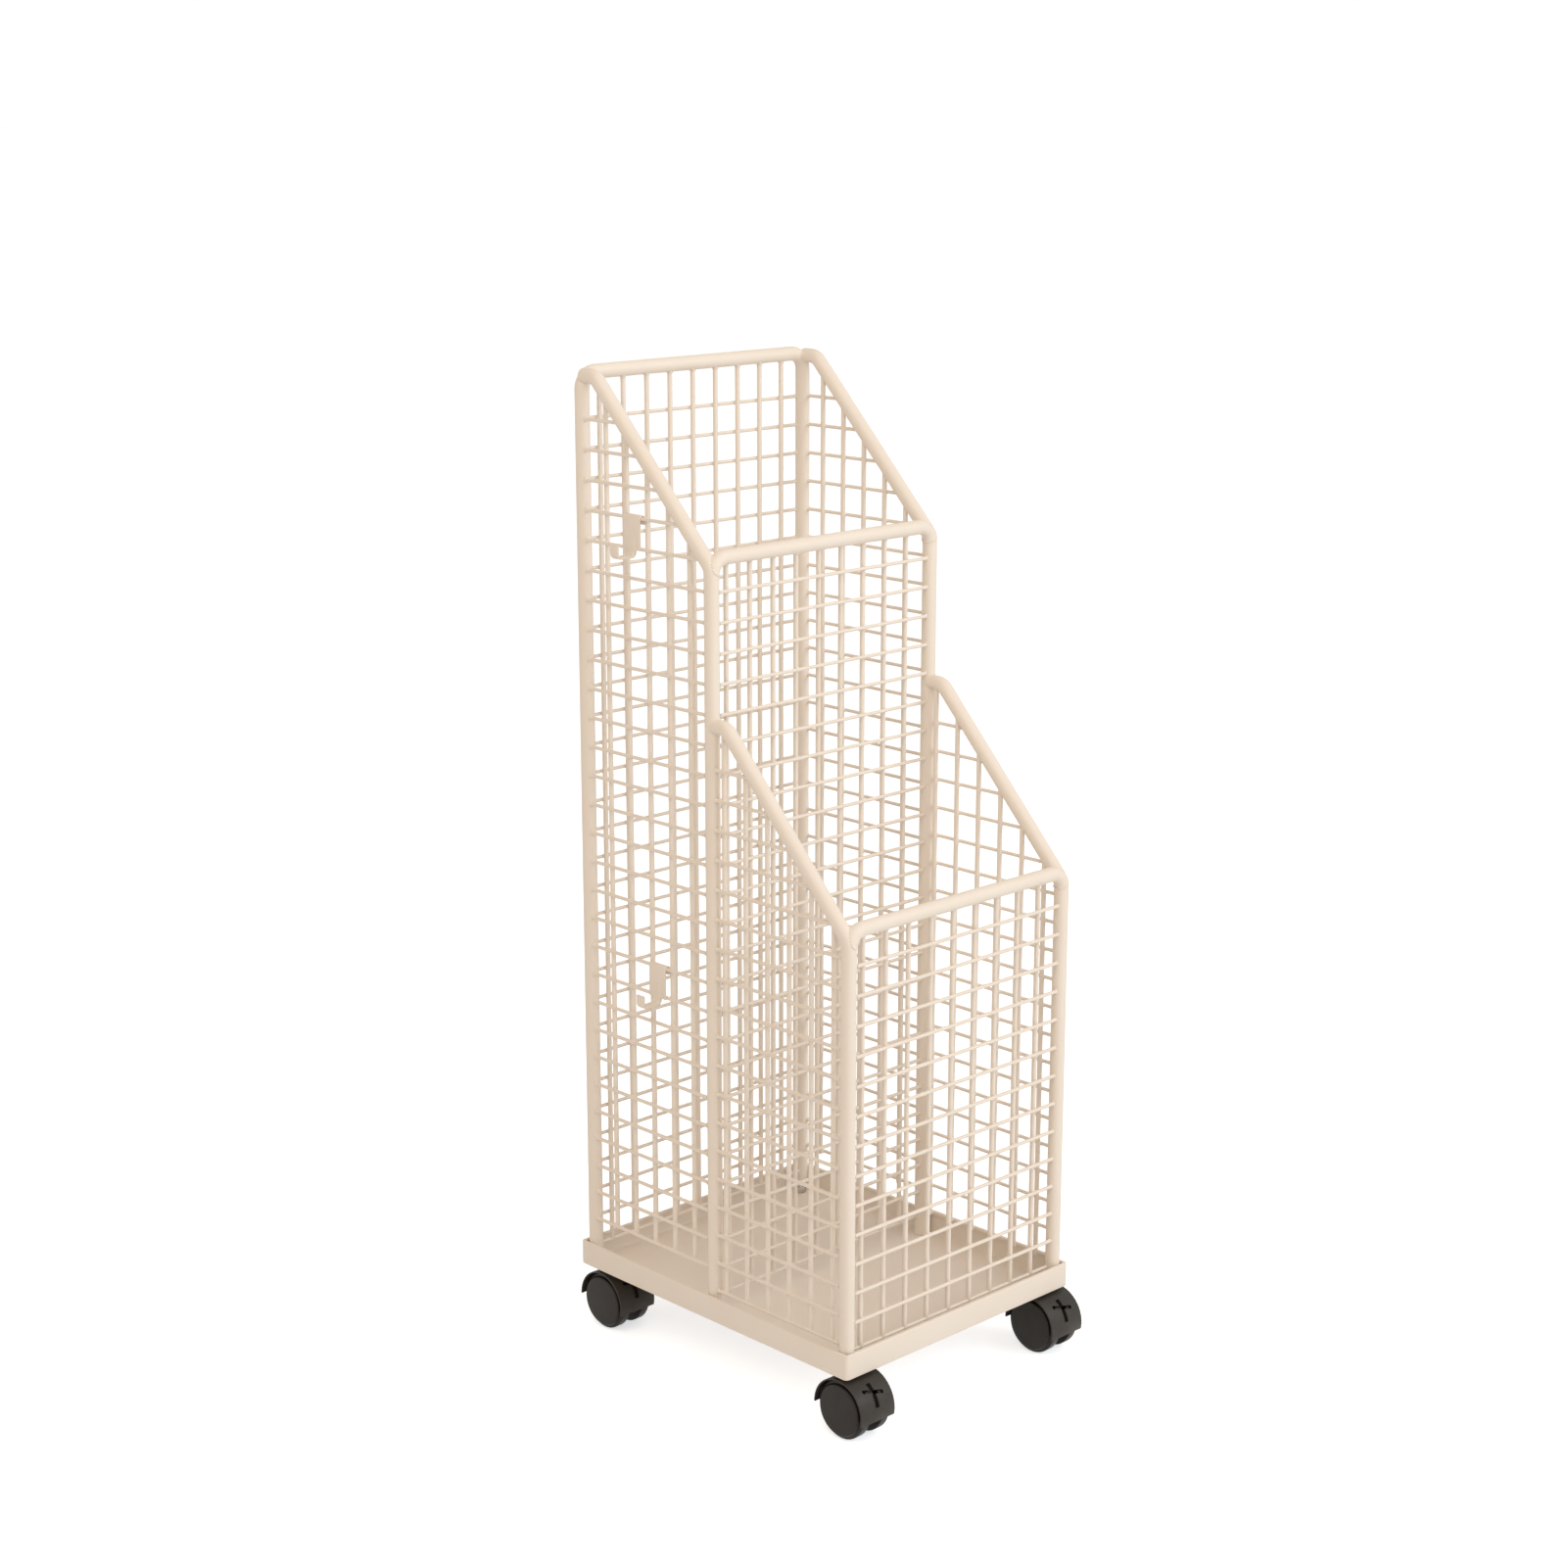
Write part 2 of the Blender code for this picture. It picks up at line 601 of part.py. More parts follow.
def hood_mesh(plastic):
    # The swivel body, about the axle: two mudguards on one web, with the hub and the stem's socket.
    shell = bmesh.new()
    ring_sector(shell, HOOD_HALF_WIDTH, HOOD_INNER, HOOD_OUTER, HOOD_FRONT_LIP, HOOD_REAR_LIP,
                HOOD_STEPS, HOOD_EDGE)
    hood = make_object("hood", shell, plastic)
    parts = bmesh.new()
    web_radius = (HOOD_INNER + HOOD_OUTER) / 2
    first, last = 180 - HOOD_FRONT_LIP - WEB_INSET, 180 - HOOD_REAR_LIP + WEB_INSET
    flat = arc(0, 0, web_radius, first, last, HOOD_STEPS)
    flat += arc(0, 0, HUB_RADIUS + WEB_HALF, -30, -150, 3)
    extrude_outline(parts, [Vector((0, y, z)) for y, z in flat], ALONG_X, -WEB_HALF, WEB_HALF)
    cylinder(parts, ALONG_X * -HUB_HALF, ALONG_X * HUB_HALF, HUB_RADIUS, 10)
    foot = SOCKET_FOOT - WHEEL_RADIUS
    head = HOOD_TOP - WHEEL_RADIUS
    socket = Vector((0, CASTER_TRAIL, 0))
    cylinder(parts, socket + ALONG_Z * foot, socket + ALONG_Z * (head - PAD_DEPTH / 2), SOCKET_RADIUS, 12)
    cylinder(parts, socket + ALONG_Z * (head - PAD_DEPTH), socket + ALONG_Z * head, PAD_RADIUS, 16)
    combine(hood, make_tool(parts), "UNION")
    cuts = bmesh.new()
    cylinder(cuts, socket + ALONG_Z * (foot - GAP), socket + ALONG_Z * (head + GAP), STEM_RADIUS + GAP, 12)
    cylinder(cuts, ALONG_X * -(HUB_HALF + GAP), ALONG_X * (HUB_HALF + GAP), AXLE_RADIUS + GAP, 10)
    combine(hood, make_tool(cuts), "DIFFERENCE")
    pocket = bmesh.new()
    ring_room = foot + STEM_BUTTON + RING_THICK + 3 * GAP
    cylinder(pocket, socket + ALONG_Z * (foot - GAP), socket + ALONG_Z * ring_room, RING_RADIUS + GAP, 12)
    ring_sector(pocket, GROOVE_HALF, HOOD_OUTER - GROOVE_DEPTH, HOOD_OUTER + HOOD_WALL,
                GROOVE_FOOT, GROOVE_TOP, 4)
    combine(hood, make_tool(pocket), "DIFFERENCE")
    branch = bmesh.new()
    reach = HOOD_OUTER - HOOD_WALL / 2
    ends = [around_axle(-BRANCH_LEFT, reach, BRANCH_LEFT_ANGLE),
            around_axle(BRANCH_RIGHT, reach, BRANCH_RIGHT_ANGLE)]
    outward = around_axle(0, 1, (BRANCH_LEFT_ANGLE + BRANCH_RIGHT_ANGLE) / 2)
    sweep(branch, ends, outward, box_section(BRANCH_WIDTH, 3 * HOOD_WALL))
    combine(hood, make_tool(branch), "DIFFERENCE")
    smooth(hood)
    mesh = hood.data
    bpy.data.objects.remove(hood)
    return mesh


def wheel_mesh(plastic):
    # Spun about Z with the outer face up, then laid along X. A flat of the tread faces down.
    true = WHEEL_RADIUS / math.cos(math.pi / WHEEL_SIDES)
    bore = AXLE_RADIUS + GAP
    inner = WHEEL_INNER_FACE
    outer = WHEEL_FACE
    shoulder = WHEEL_SHOULDER
    profile = [(bore, inner), (true - shoulder / 2, inner), (true, inner + shoulder / 2),
               (true, outer - shoulder), (true - shoulder, outer - shoulder / 8), (0, outer)]
    profile = [(0, outer - WHEEL_SKIN), (bore, outer - WHEEL_SKIN)] + profile
    bm = revolve(profile, WHEEL_SIDES, math.pi / WHEEL_SIDES)
    bm.transform(Matrix.Rotation(math.pi / 2, 4, "Y"))
    wheel = make_object("wheel", bm, plastic)
    smooth(wheel)
    mesh = wheel.data
    bpy.data.objects.remove(wheel)
    return mesh


def turned_mesh(name, profile, sides, material):
    thing = make_object(name, revolve(profile, sides), material)
    smooth(thing)
    mesh = thing.data
    bpy.data.objects.remove(thing)
    return mesh


def stem_mesh(steel):
    # Heights count from the stem's foot.
    neck_low = STEM_BUTTON
    neck_high = STEM_BUTTON + RING_THICK + 2 * GAP
    collar_low = HOOD_TOP + GAP - STEM_FOOT
    collar_high = TRAY_LIFT - GAP - STEM_FOOT
    top = FLOOR_TOP + GAP + NUT_HEIGHT + THREAD_ABOVE_NUT - STEM_FOOT
    profile = [(0, 0), (STEM_RADIUS, 0), (STEM_RADIUS, neck_low), (STEM_NECK, neck_low),
               (STEM_NECK, neck_high), (STEM_RADIUS, neck_high), (STEM_RADIUS, collar_low),
               (COLLAR_RADIUS, collar_low),
               (COLLAR_RADIUS, collar_high), (THREAD_RADIUS, collar_high), (THREAD_RADIUS, top), (0, top)]
    return turned_mesh("stem", profile, 12, steel)


def ring_mesh(steel):
    inner = STEM_NECK + GAP
    profile = [(inner, 0), (RING_RADIUS, 0), (RING_RADIUS, RING_THICK), (inner, RING_THICK)]
    return turned_mesh("ring", profile, 12, steel)


def nut_mesh(steel):
    corner = NUT_ACROSS_FLATS / math.sqrt(3)
    bore = THREAD_RADIUS + GAP
    bm = bmesh.new()
    extrude_outline(bm, [Vector((a, b, 0)) for a, b in round_section(corner, 6)], ALONG_Z, 0, NUT_HEIGHT)
    nut = make_object("nut", bm, steel)
    hole = bmesh.new()
    cylinder(hole, ALONG_Z * -GAP, ALONG_Z * (NUT_HEIGHT + GAP), bore, 10)
    combine(nut, make_tool(hole), "DIFFERENCE")
    mesh = nut.data
    bpy.data.objects.remove(nut)
    return mesh


def axle_mesh(steel):
    half = WHEEL_FACE - WHEEL_SKIN - AXLE_END_GAP
    bm = bmesh.new()
    cylinder(bm, ALONG_X * -half, ALONG_X * half, AXLE_RADIUS, 10)
    axle = make_object("axle", bm, steel)
    smooth(axle)
    mesh = axle.data
    bpy.data.objects.remove(axle)
    return mesh


def add_copy(name, mesh, parent, position, turn=0.0):
    thing = bpy.data.objects.new(name, mesh)
    bpy.context.scene.collection.objects.link(thing)
    place(thing, parent, position)
    thing.rotation_euler = (0, 0, turn)
    return thing


def build_casters(rack, plastic, steel):
    hood = hood_mesh(plastic)
    wheel = wheel_mesh(plastic)
    stem = stem_mesh(steel)
    ring = ring_mesh(steel)
    nut = nut_mesh(steel)
    axle = axle_mesh(steel)
    names = ("front_left", "front_right", "back_left", "back_right")
    for name, (x, y) in zip(names, caster_places()):
        axle_place = Vector((x, y - CASTER_TRAIL, WHEEL_RADIUS))
        hood_copy = add_copy(name + "_caster_hood", hood, rack, Vector((x, y, WHEEL_RADIUS)))
        shift_mesh(hood_copy, Vector((0, -CASTER_TRAIL, 0)))
        add_copy(name + "_axle", axle, rack, axle_place)
        add_copy(name + "_right_wheel", wheel, rack, axle_place)
        add_copy(name + "_left_wheel", wheel, rack, axle_place, math.pi)
        add_copy(name + "_stem", stem, rack, Vector((x, y, STEM_FOOT)))
        add_copy(name + "_stem_ring", ring, rack, Vector((x, y, STEM_FOOT + STEM_BUTTON + GAP)))
        add_copy(name + "_stem_nut", nut, rack, Vector((x, y, FLOOR_TOP + GAP)))


def shift_mesh(thing, offset):
    # Moves the mesh under its origin, so that the origin stays on the swivel axis.
    thing.data = thing.data.copy()
    thing.data.transform(Matrix.Translation(offset))


def hook_paths():
    # Both strips as (outward, height) pairs about the wire that carries the hook.
    over = HALF_WIRE + GAP + HOOK_SHEET / 2
    fold = [(HOOK_FLANGE_MID, -HOOK_FLANGE), (HOOK_FLANGE_MID, over - HOOK_SHEET / 2),
            (HOOK_FLANGE_MID + HOOK_SHEET / 3, over), (HOOK_PLATE_MID - HOOK_SHEET / 3, over),
            (HOOK_PLATE_MID, over - HOOK_SHEET / 2), (HOOK_PLATE_MID, -HOOK_PLATE)]
    valley = -HOOK_PLATE - ARM_DROP
    far = HOOK_PLATE_MID + ARM_REACH
    arm = [(HOOK_PLATE_MID, -HOOK_PLATE + ARM_ROOT)]
    arm += arc(HOOK_PLATE_MID + ARM_BEND, valley + ARM_BEND, ARM_BEND, 180, 270, 3)
    arm += arc(far - ARM_BEND, valley + ARM_BEND, ARM_BEND, 270, 360, 3)
    arm += [(far, valley + ARM_TIP)]
    return fold, arm


def build_hook(name, rack, gap_number, cross_number, paint):
    # Hangs on a cross wire of the tall left side, between two uprights.
    fold, arm = hook_paths()
    bm = bmesh.new()
    sweep(bm, [Vector((-a, 0, b)) for a, b in fold], ALONG_Y, box_section(HOOK_SHEET, HOOK_WIDTH))
    hook = make_object(name, bm, paint)
    strip = bmesh.new()
    sweep(strip, [Vector((-a, 0, b)) for a, b in arm], ALONG_Y, box_section(ARM_SHEET, ARM_WIDTH))
    combine(hook, make_tool(strip), "UNION")
    y = FIRST_UPRIGHT_TALL_SIDE + (gap_number + 0.5) * PITCH_DEEP
    z = RIM_Z + FIRST_CROSS_TALL_SIDE + cross_number * PITCH_UP
    place(hook, rack, Vector((-POST_X, y, z)))
    return hook


def build_frames(rack, paint):
    low_corners = low_side_corners()
    tall_corners = tall_side_corners()
    pieces = [build_back_panel(paint),
              build_rail_panel("middle_panel", 0, MIDDLE_RAIL, tall_corners, paint),
              build_rail_panel("low_front_panel", FRONT_Y, LOW_FRONT_RAIL, low_corners, paint)]
    for word, side in (("left", -1), ("right", 1)):
        middle_post = [(side_path(tall_corners, side * POST_X), ALONG_X)]
        back_tube = [(across_path(back_corners(), BACK_Y), ALONG_Y)]
        pieces.append(build_side("low_side_" + word, side, low_corners, middle_post, 0,
                                 FIRST_UPRIGHT_LOW_SIDE, FIRST_CROSS_LOW_SIDE, paint))
        pieces.append(build_side("tall_side_" + word, side, tall_corners, back_tube, BACK_Y,
                                 FIRST_UPRIGHT_TALL_SIDE, FIRST_CROSS_TALL_SIDE, paint))
    for piece in pieces:
        place(piece, rack, Vector((0, 0, 0)))


def main():
    clear_scene()
    rack = bpy.data.objects.new("rack_centre", None)
    bpy.context.scene.collection.objects.link(rack)
    rack.location = CENTRE_SHIFT
    paint = make_material("cream_paint", (0.80, 0.72, 0.63), 0.45, 0.0)
    plastic = make_material("caster_plastic", (0.035, 0.030, 0.028), 0.42, 0.0)
    steel = make_material("plated_steel", (0.62, 0.60, 0.57), 0.32, 1.0)
    place(build_tray(paint), rack, Vector((0, 0, 0)))
    build_frames(rack, paint)
    build_casters(rack, plastic, steel)
    build_hook("upper_hook", rack, UPPER_HOOK_GAP, UPPER_HOOK_CROSS, paint)
    build_hook("lower_hook", rack, LOWER_HOOK_GAP, LOWER_HOOK_CROSS, paint)
    bpy.context.view_layer.update()


main()
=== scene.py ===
import math

import bmesh
import bpy
from mathutils import Matrix, Vector


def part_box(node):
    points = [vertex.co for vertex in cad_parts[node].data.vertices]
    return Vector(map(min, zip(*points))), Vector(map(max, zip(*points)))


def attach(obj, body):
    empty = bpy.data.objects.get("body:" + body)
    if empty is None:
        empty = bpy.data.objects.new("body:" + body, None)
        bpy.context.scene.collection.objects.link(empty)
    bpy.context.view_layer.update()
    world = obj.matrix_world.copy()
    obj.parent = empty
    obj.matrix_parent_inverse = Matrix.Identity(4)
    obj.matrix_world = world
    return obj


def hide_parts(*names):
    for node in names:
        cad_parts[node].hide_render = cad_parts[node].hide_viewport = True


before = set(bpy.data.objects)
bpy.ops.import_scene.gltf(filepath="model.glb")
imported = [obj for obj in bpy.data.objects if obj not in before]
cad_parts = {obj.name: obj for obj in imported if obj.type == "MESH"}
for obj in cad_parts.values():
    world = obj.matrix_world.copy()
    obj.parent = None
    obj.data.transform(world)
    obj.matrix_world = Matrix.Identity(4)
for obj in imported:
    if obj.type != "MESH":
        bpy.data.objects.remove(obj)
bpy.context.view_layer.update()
print("frame loaded")

mm = 0.001
alongX = Vector((1, 0, 0))
alongY = Vector((0, 1, 0))
alongZ = Vector((0, 0, 1))

# the rack's own middle, from the outer faces of the tray
trayLow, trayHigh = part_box("tray")
midX = (trayLow.x + trayHigh.x) / 2
midY = (trayLow.y + trayHigh.y) / 2

rack = {
    "postX": 126.05 * mm, "bayDeep": 155.25 * mm, "rimZ": 75.6 * mm, "floorZ": 55.2 * mm,
    "lowFrontRail": 350.5 * mm, "lowSideRail": 489.5 * mm, "middleRail": 624.2 * mm, "backRail": 759.8 * mm,
    "tallSideRail": 757.8 * mm, "knee": 17.0 * mm, "cornerDrop": 7.6 * mm, "railSeat": 3.0 * mm,
    "lowSeat": 2.0 * mm, "railEnd": 1.0 * mm, "railFit": 0.995,
    "tubeR": 6.25 * mm, "bendR": 14.0 * mm, "gap": 0.3 * mm, "tubeSides": 32, "bendSteps": 10,
    "domeHigh": 4.2 * mm, "domeFit": 0.998, "domeRings": 16,
}

wires = {
    "crossR": 1.55 * mm, "uprightR": 2.15 * mm, "sides": 12, "crossOut": 1.75 * mm, "uprightIn": 1.65 * mm,
    "pitchUp": 25.0 * mm, "pitchAcross": 25.9 * mm, "pitchDeep": 25.1 * mm,
    "firstAcross": 17.0 * mm, "firstLowSide": 18.0 * mm, "firstTallSide": 27.4 * mm,
    "crossPanel": 22.0 * mm, "crossLowSide": 3.9 * mm, "crossTallSide": 22.5 * mm,
    "bottomDrop": 3.0 * mm, "topClear": 15.0 * mm, "shortest": 12.0 * mm, "sink": 1.3 * mm,
    "lastAcross": 2.0 * mm, "lastDeep": 3.0 * mm, "tuck": 1.5 * mm,
    "weldLong": 2.5 * mm, "weldThick": 1.5 * mm, "weldAt": 0.3 * mm, "weldClear": 2.0 * mm,
    "collarGrow": 0.75 * mm, "collarLong": 1.6 * mm, "collarShift": 0.3, "collarTip": 1.02,
}

seam = {
    "beads": 34, "beadR": 0.85 * mm, "step": 0.9 * mm, "reach": 26.0 * mm, "bite": 0.05 * mm, "bendSteps": 12,
}


def newGroup(name, inputs, outputs):
    group = bpy.data.node_groups.new(name, "ShaderNodeTree")
    for label, kind, value in inputs:
        socket = group.interface.new_socket(name=label, in_out="INPUT", socket_type=kind)
        if value is not None:
            socket.default_value = value
    for label, kind in outputs:
        group.interface.new_socket(name=label, in_out="OUTPUT", socket_type=kind)
    start = group.nodes.new("NodeGroupInput")
    end = group.nodes.new("NodeGroupOutput")
    return group, start, end


def feed(tree, value, socket):
    # links an output of another node, or sets a plain value
    if isinstance(value, bpy.types.NodeSocket):
        tree.links.new(value, socket)
    else:
        socket.default_value = value


def noiseNode(tree, vector, scale, detail):
    node = tree.nodes.new("ShaderNodeTexNoise")
    feed(tree, vector, node.inputs["Vector"])
    feed(tree, scale, node.inputs["Scale"])
    feed(tree, detail, node.inputs["Detail"])
    return node.outputs["Fac"]


def spread(tree, value, low, high):
    # stretches the middle of a noise's range, so that it runs from low to high
    node = tree.nodes.new("ShaderNodeMapRange")
    node.inputs["From Min"].default_value = 0.3
    node.inputs["From Max"].default_value = 0.7
    feed(tree, value, node.inputs["Value"])
    feed(tree, low, node.inputs["To Min"])
    feed(tree, high, node.inputs["To Max"])
    return node.outputs["Result"]


def mixColor(tree, factor, first, second):
    node = tree.nodes.new("ShaderNodeMix")
    node.data_type = "RGBA"
    for value, slot in ((factor, 0), (first, 6), (second, 7)):
        feed(tree, value, node.inputs[slot])
    return node.outputs[2]


def mathNode(tree, operation, first, second):
    node = tree.nodes.new("ShaderNodeMath")
    node.operation = operation
    feed(tree, first, node.inputs[0])
    feed(tree, second, node.inputs[1])
    return node.outputs[0]


def coatGroup():
    # a sprayed or moulded skin: slow colour drift, fine pebble, uneven gloss
    group, start, end = newGroup("coatSkin", [
        ("Vector", "NodeSocketVector", None),
        ("Base", "NodeSocketColor", (0.8, 0.8, 0.8, 1)),
        ("Drift", "NodeSocketColor", (0.7, 0.7, 0.7, 1)),
        ("Drift Scale", "NodeSocketFloat", 12.0),
        ("Pebble Scale", "NodeSocketFloat", 900.0),
        ("Rough Low", "NodeSocketFloat", 0.35),
        ("Rough High", "NodeSocketFloat", 0.5),
    ], [("Color", "NodeSocketColor"), ("Roughness", "NodeSocketFloat"), ("Height", "NodeSocketFloat")])
    vector = start.outputs["Vector"]
    patchScale = 60.0
    slow = noiseNode(group, vector, start.outputs["Drift Scale"], 3.0)
    pebble = noiseNode(group, vector, start.outputs["Pebble Scale"], 2.0)
    patch = noiseNode(group, vector, patchScale, 2.0)
    color = mixColor(group, spread(group, slow, 0.0, 1.0), start.outputs["Base"], start.outputs["Drift"])
    rough = spread(group, patch, start.outputs["Rough Low"], start.outputs["Rough High"])
    group.links.new(color, end.inputs["Color"])
    group.links.new(rough, end.inputs["Roughness"])
    group.links.new(pebble, end.inputs["Height"])
    return group


skinGroup = coatGroup()


def skinMaterial(name, look):
    material = bpy.data.materials.new(name)
    material.use_nodes = True
    tree = material.node_tree
    shader = tree.nodes["Principled BSDF"]
    place = tree.nodes.new("ShaderNodeTexCoord")
    skin = tree.nodes.new("ShaderNodeGroup")
    skin.node_tree = skinGroup
    tree.links.new(place.outputs["Object"], skin.inputs["Vector"])
    skin.inputs["Base"].default_value = (*look["base"], 1)
    skin.inputs["Drift"].default_value = (*look["drift"], 1)
    skin.inputs["Drift Scale"].default_value = look["driftScale"]
    skin.inputs["Pebble Scale"].default_value = look["pebbleScale"]
    skin.inputs["Rough Low"].default_value = look["rough"][0]
    skin.inputs["Rough High"].default_value = look["rough"][1]
    tree.links.new(skin.outputs["Color"], shader.inputs["Base Color"])
    tree.links.new(skin.outputs["Roughness"], shader.inputs["Roughness"])
    bump = tree.nodes.new("ShaderNodeBump")
    bump.inputs["Strength"].default_value = look["bump"]
    bump.inputs["Distance"].default_value = look["bumpDepth"]
    tree.links.new(skin.outputs["Height"], bump.inputs["Height"])
    tree.links.new(bump.outputs["Normal"], shader.inputs["Normal"])
    shader.inputs["Metallic"].default_value = look.get("metallic", 0.0)
    shader.inputs["Specular IOR Level"].default_value = look.get("specular", 0.5)
    return material


finishes = {
    "creamPaint": {
        "base": (0.850, 0.783, 0.715), "drift": (0.830, 0.757, 0.682), "driftScale": 9.0,
        "pebbleScale": 1400.0, "rough": (0.46, 0.58), "bump": 0.12, "bumpDepth": 0.0002,
    },
    "hoodPlastic": {
        "base": (0.034, 0.0285, 0.0225), "drift": (0.027, 0.0225, 0.018), "driftScale": 60.0,
        "pebbleScale": 2600.0, "rough": (0.40, 0.52), "bump": 0.3, "bumpDepth": 0.0002, "specular": 0.3,
    },
    "wheelPlastic": {
        "base": (0.012, 0.0085, 0.0060), "drift": (0.017, 0.0125, 0.0090), "driftScale": 70.0,
        "pebbleScale": 2200.0, "rough": (0.34, 0.46), "bump": 0.2, "bumpDepth": 0.0002, "specular": 0.22,
    },
    "platedSteel": {
        "base": (0.62, 0.60, 0.57), "drift": (0.52, 0.50, 0.46), "driftScale": 120.0,
        "pebbleScale": 3000.0, "rough": (0.22, 0.36), "bump": 0.15, "bumpDepth": 0.0001, "metallic": 1.0,
    },
}
looks = {name: skinMaterial(name, look) for name, look in finishes.items()}
creamPaint = looks["creamPaint"]
hoodPlastic = looks["hoodPlastic"]
wheelPlastic = looks["wheelPlastic"]
platedSteel = looks["platedSteel"]
print("finishes ready")


def finishPiece(name, bm, material, body, replaced=(), smoothAngle=38):
    bmesh.ops.remove_doubles(bm, verts=bm.verts, dist=0.000001)
    bmesh.ops.recalc_face_normals(bm, faces=bm.faces)
    bmesh.ops.translate(bm, verts=bm.verts, vec=(midX, midY, 0))
    mesh = bpy.data.meshes.new(name)
    bm.to_mesh(mesh)
    bm.free()
    mesh.shade_smooth()
    mesh.set_sharp_from_angle(angle=math.radians(smoothAngle))
    mesh.materials.append(material)
    piece = bpy.data.objects.new(name, mesh)
    bpy.context.scene.collection.objects.link(piece)
    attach(piece, body)
    if replaced:
        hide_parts(*replaced)
    return piece


def turnTo(direction):
    return direction.normalized().to_track_quat("Z", "Y").to_matrix().to_4x4()


def addRod(bm, start, end, radius, sides):
    middle = (start + end) / 2
    bmesh.ops.create_cone(bm, cap_ends=True, segments=sides, radius1=radius, radius2=radius,
                          depth=(end - start).length, matrix=Matrix.Translation(middle) @ turnTo(end - start))


def addCollar(bm, at, direction, radius):
    # the paint-filled fillet where a wire's end meets a tube
    long = wires["collarLong"]
    spot = at + direction.normalized() * (long * wires["collarShift"])
    bmesh.ops.create_cone(bm, cap_ends=True, segments=wires["sides"], radius1=radius + wires["collarGrow"],
                          radius2=radius * wires["collarTip"], depth=long,
                          matrix=Matrix.Translation(spot) @ turnTo(direction))


def addWeld(bm, at, normal):
    # a low bead where two wires cross
    size = Matrix.Diagonal((wires["weldLong"], wires["weldLong"], wires["weldThick"], 1))
    bmesh.ops.create_icosphere(bm, subdivisions=1, radius=1.0,
                               matrix=Matrix.Translation(at) @ turnTo(normal) @ size)


def edgesIn(geom):
    return [item for item in geom if isinstance(item, bmesh.types.BMEdge)]


def vertsIn(geom):
    return [item for item in geom if isinstance(item, bmesh.types.BMVert)]


def extrudeRing(bm, ring):
    # the new ring of edges and its verts, still in the old ring's place
    made = bmesh.ops.extrude_edge_only(bm, edges=ring)
    fresh = vertsIn(made["geom"])
    return [edge for edge in edgesIn(made["geom"]) if all(vert in fresh for vert in edge.verts)], fresh


def pushRing(bm, ring, offset):
    edges, fresh = extrudeRing(bm, ring)
    bmesh.ops.translate(bm, verts=fresh, vec=offset)
    return edges


def bentTube(bm, corners, radius):
    # a round tube through the corners: extruded straights, spun bends, flat ends
    points = [Vector(corner) for corner in corners]
    first = (points[1] - points[0]).normalized()
    made = bmesh.ops.create_circle(bm, cap_ends=False, segments=rack["tubeSides"], radius=radius,
                                   matrix=Matrix.Translation(points[0]) @ turnTo(first))
    ring = list(dict.fromkeys(edge for vert in made["verts"] for edge in vert.link_edges))
    startRing = list(ring)
    here = points[0]
    for before, corner, after in zip(points, points[1:], points[2:]):
        arriving = (corner - before).normalized()
        leaving = (after - corner).normalized()
        angle = arriving.angle(leaving)
        reach = rack["bendR"] * math.tan(angle / 2)
        bendStart = corner - arriving * reach
        ring = pushRing(bm, ring, bendStart - here)
        axis = arriving.cross(leaving).normalized()
        inward = axis.cross(arriving).normalized()
        spun = bmesh.ops.spin(bm, geom=ring, cent=bendStart + inward * rack["bendR"], axis=axis, angle=angle,
                              steps=rack["bendSteps"], use_merge=False, use_duplicate=False)
        ring = edgesIn(spun["geom_last"])
        here = corner + leaving * reach
    ring = pushRing(bm, ring, points[-1] - here)
    bmesh.ops.edgeloop_fill(bm, edges=startRing)
    bmesh.ops.edgeloop_fill(bm, edges=ring)


def addDome(bm, at, direction):
    # rounds off a tube's flat end with a low dome of weld
    squat = Matrix.Diagonal((1, 1, rack["domeHigh"] / rack["tubeR"], 1))
    bmesh.ops.create_uvsphere(bm, u_segments=rack["tubeSides"], v_segments=rack["domeRings"],
                              radius=rack["tubeR"] * rack["domeFit"],
                              matrix=Matrix.Translation(at) @ turnTo(direction) @ squat)


def stepsBetween(first, pitch, limit):
    count = int((limit - first) / pitch + 1e-6) + 1
    return [first + pitch * k for k in range(max(0, count))]


def spinLoop(points, start, angle, steps, whole):
    # spins (x, radius) pairs about the X axis; angle 0 is forward, 90 degrees is up
    bm = bmesh.new()
    verts = [bm.verts.new((x, -r * math.cos(start), r * math.sin(start))) for x, r in points]
    edges = [bm.edges.new(pair) for pair in zip(verts, verts[1:])]
    if not whole:
        edges.append(bm.edges.new((verts[-1], verts[0])))
    spun = bmesh.ops.spin(bm, geom=edges, cent=(0, 0, 0), axis=-alongX, angle=angle, steps=steps,
                          use_merge=whole, use_duplicate=False)
    if not whole:
        bmesh.ops.edgeloop_fill(bm, edges=edges)
        bmesh.ops.edgeloop_fill(bm, edges=edgesIn(spun["geom_last"]))
    return bm


def addSlab(bm, spots, offset):
    # a flat outline pulled into a solid
    face = bm.faces.new([bm.verts.new(spot) for spot in spots])
    grown = bmesh.ops.extrude_face_region(bm, geom=[face])
    bmesh.ops.translate(bm, verts=vertsIn(grown["geom"]), vec=offset)


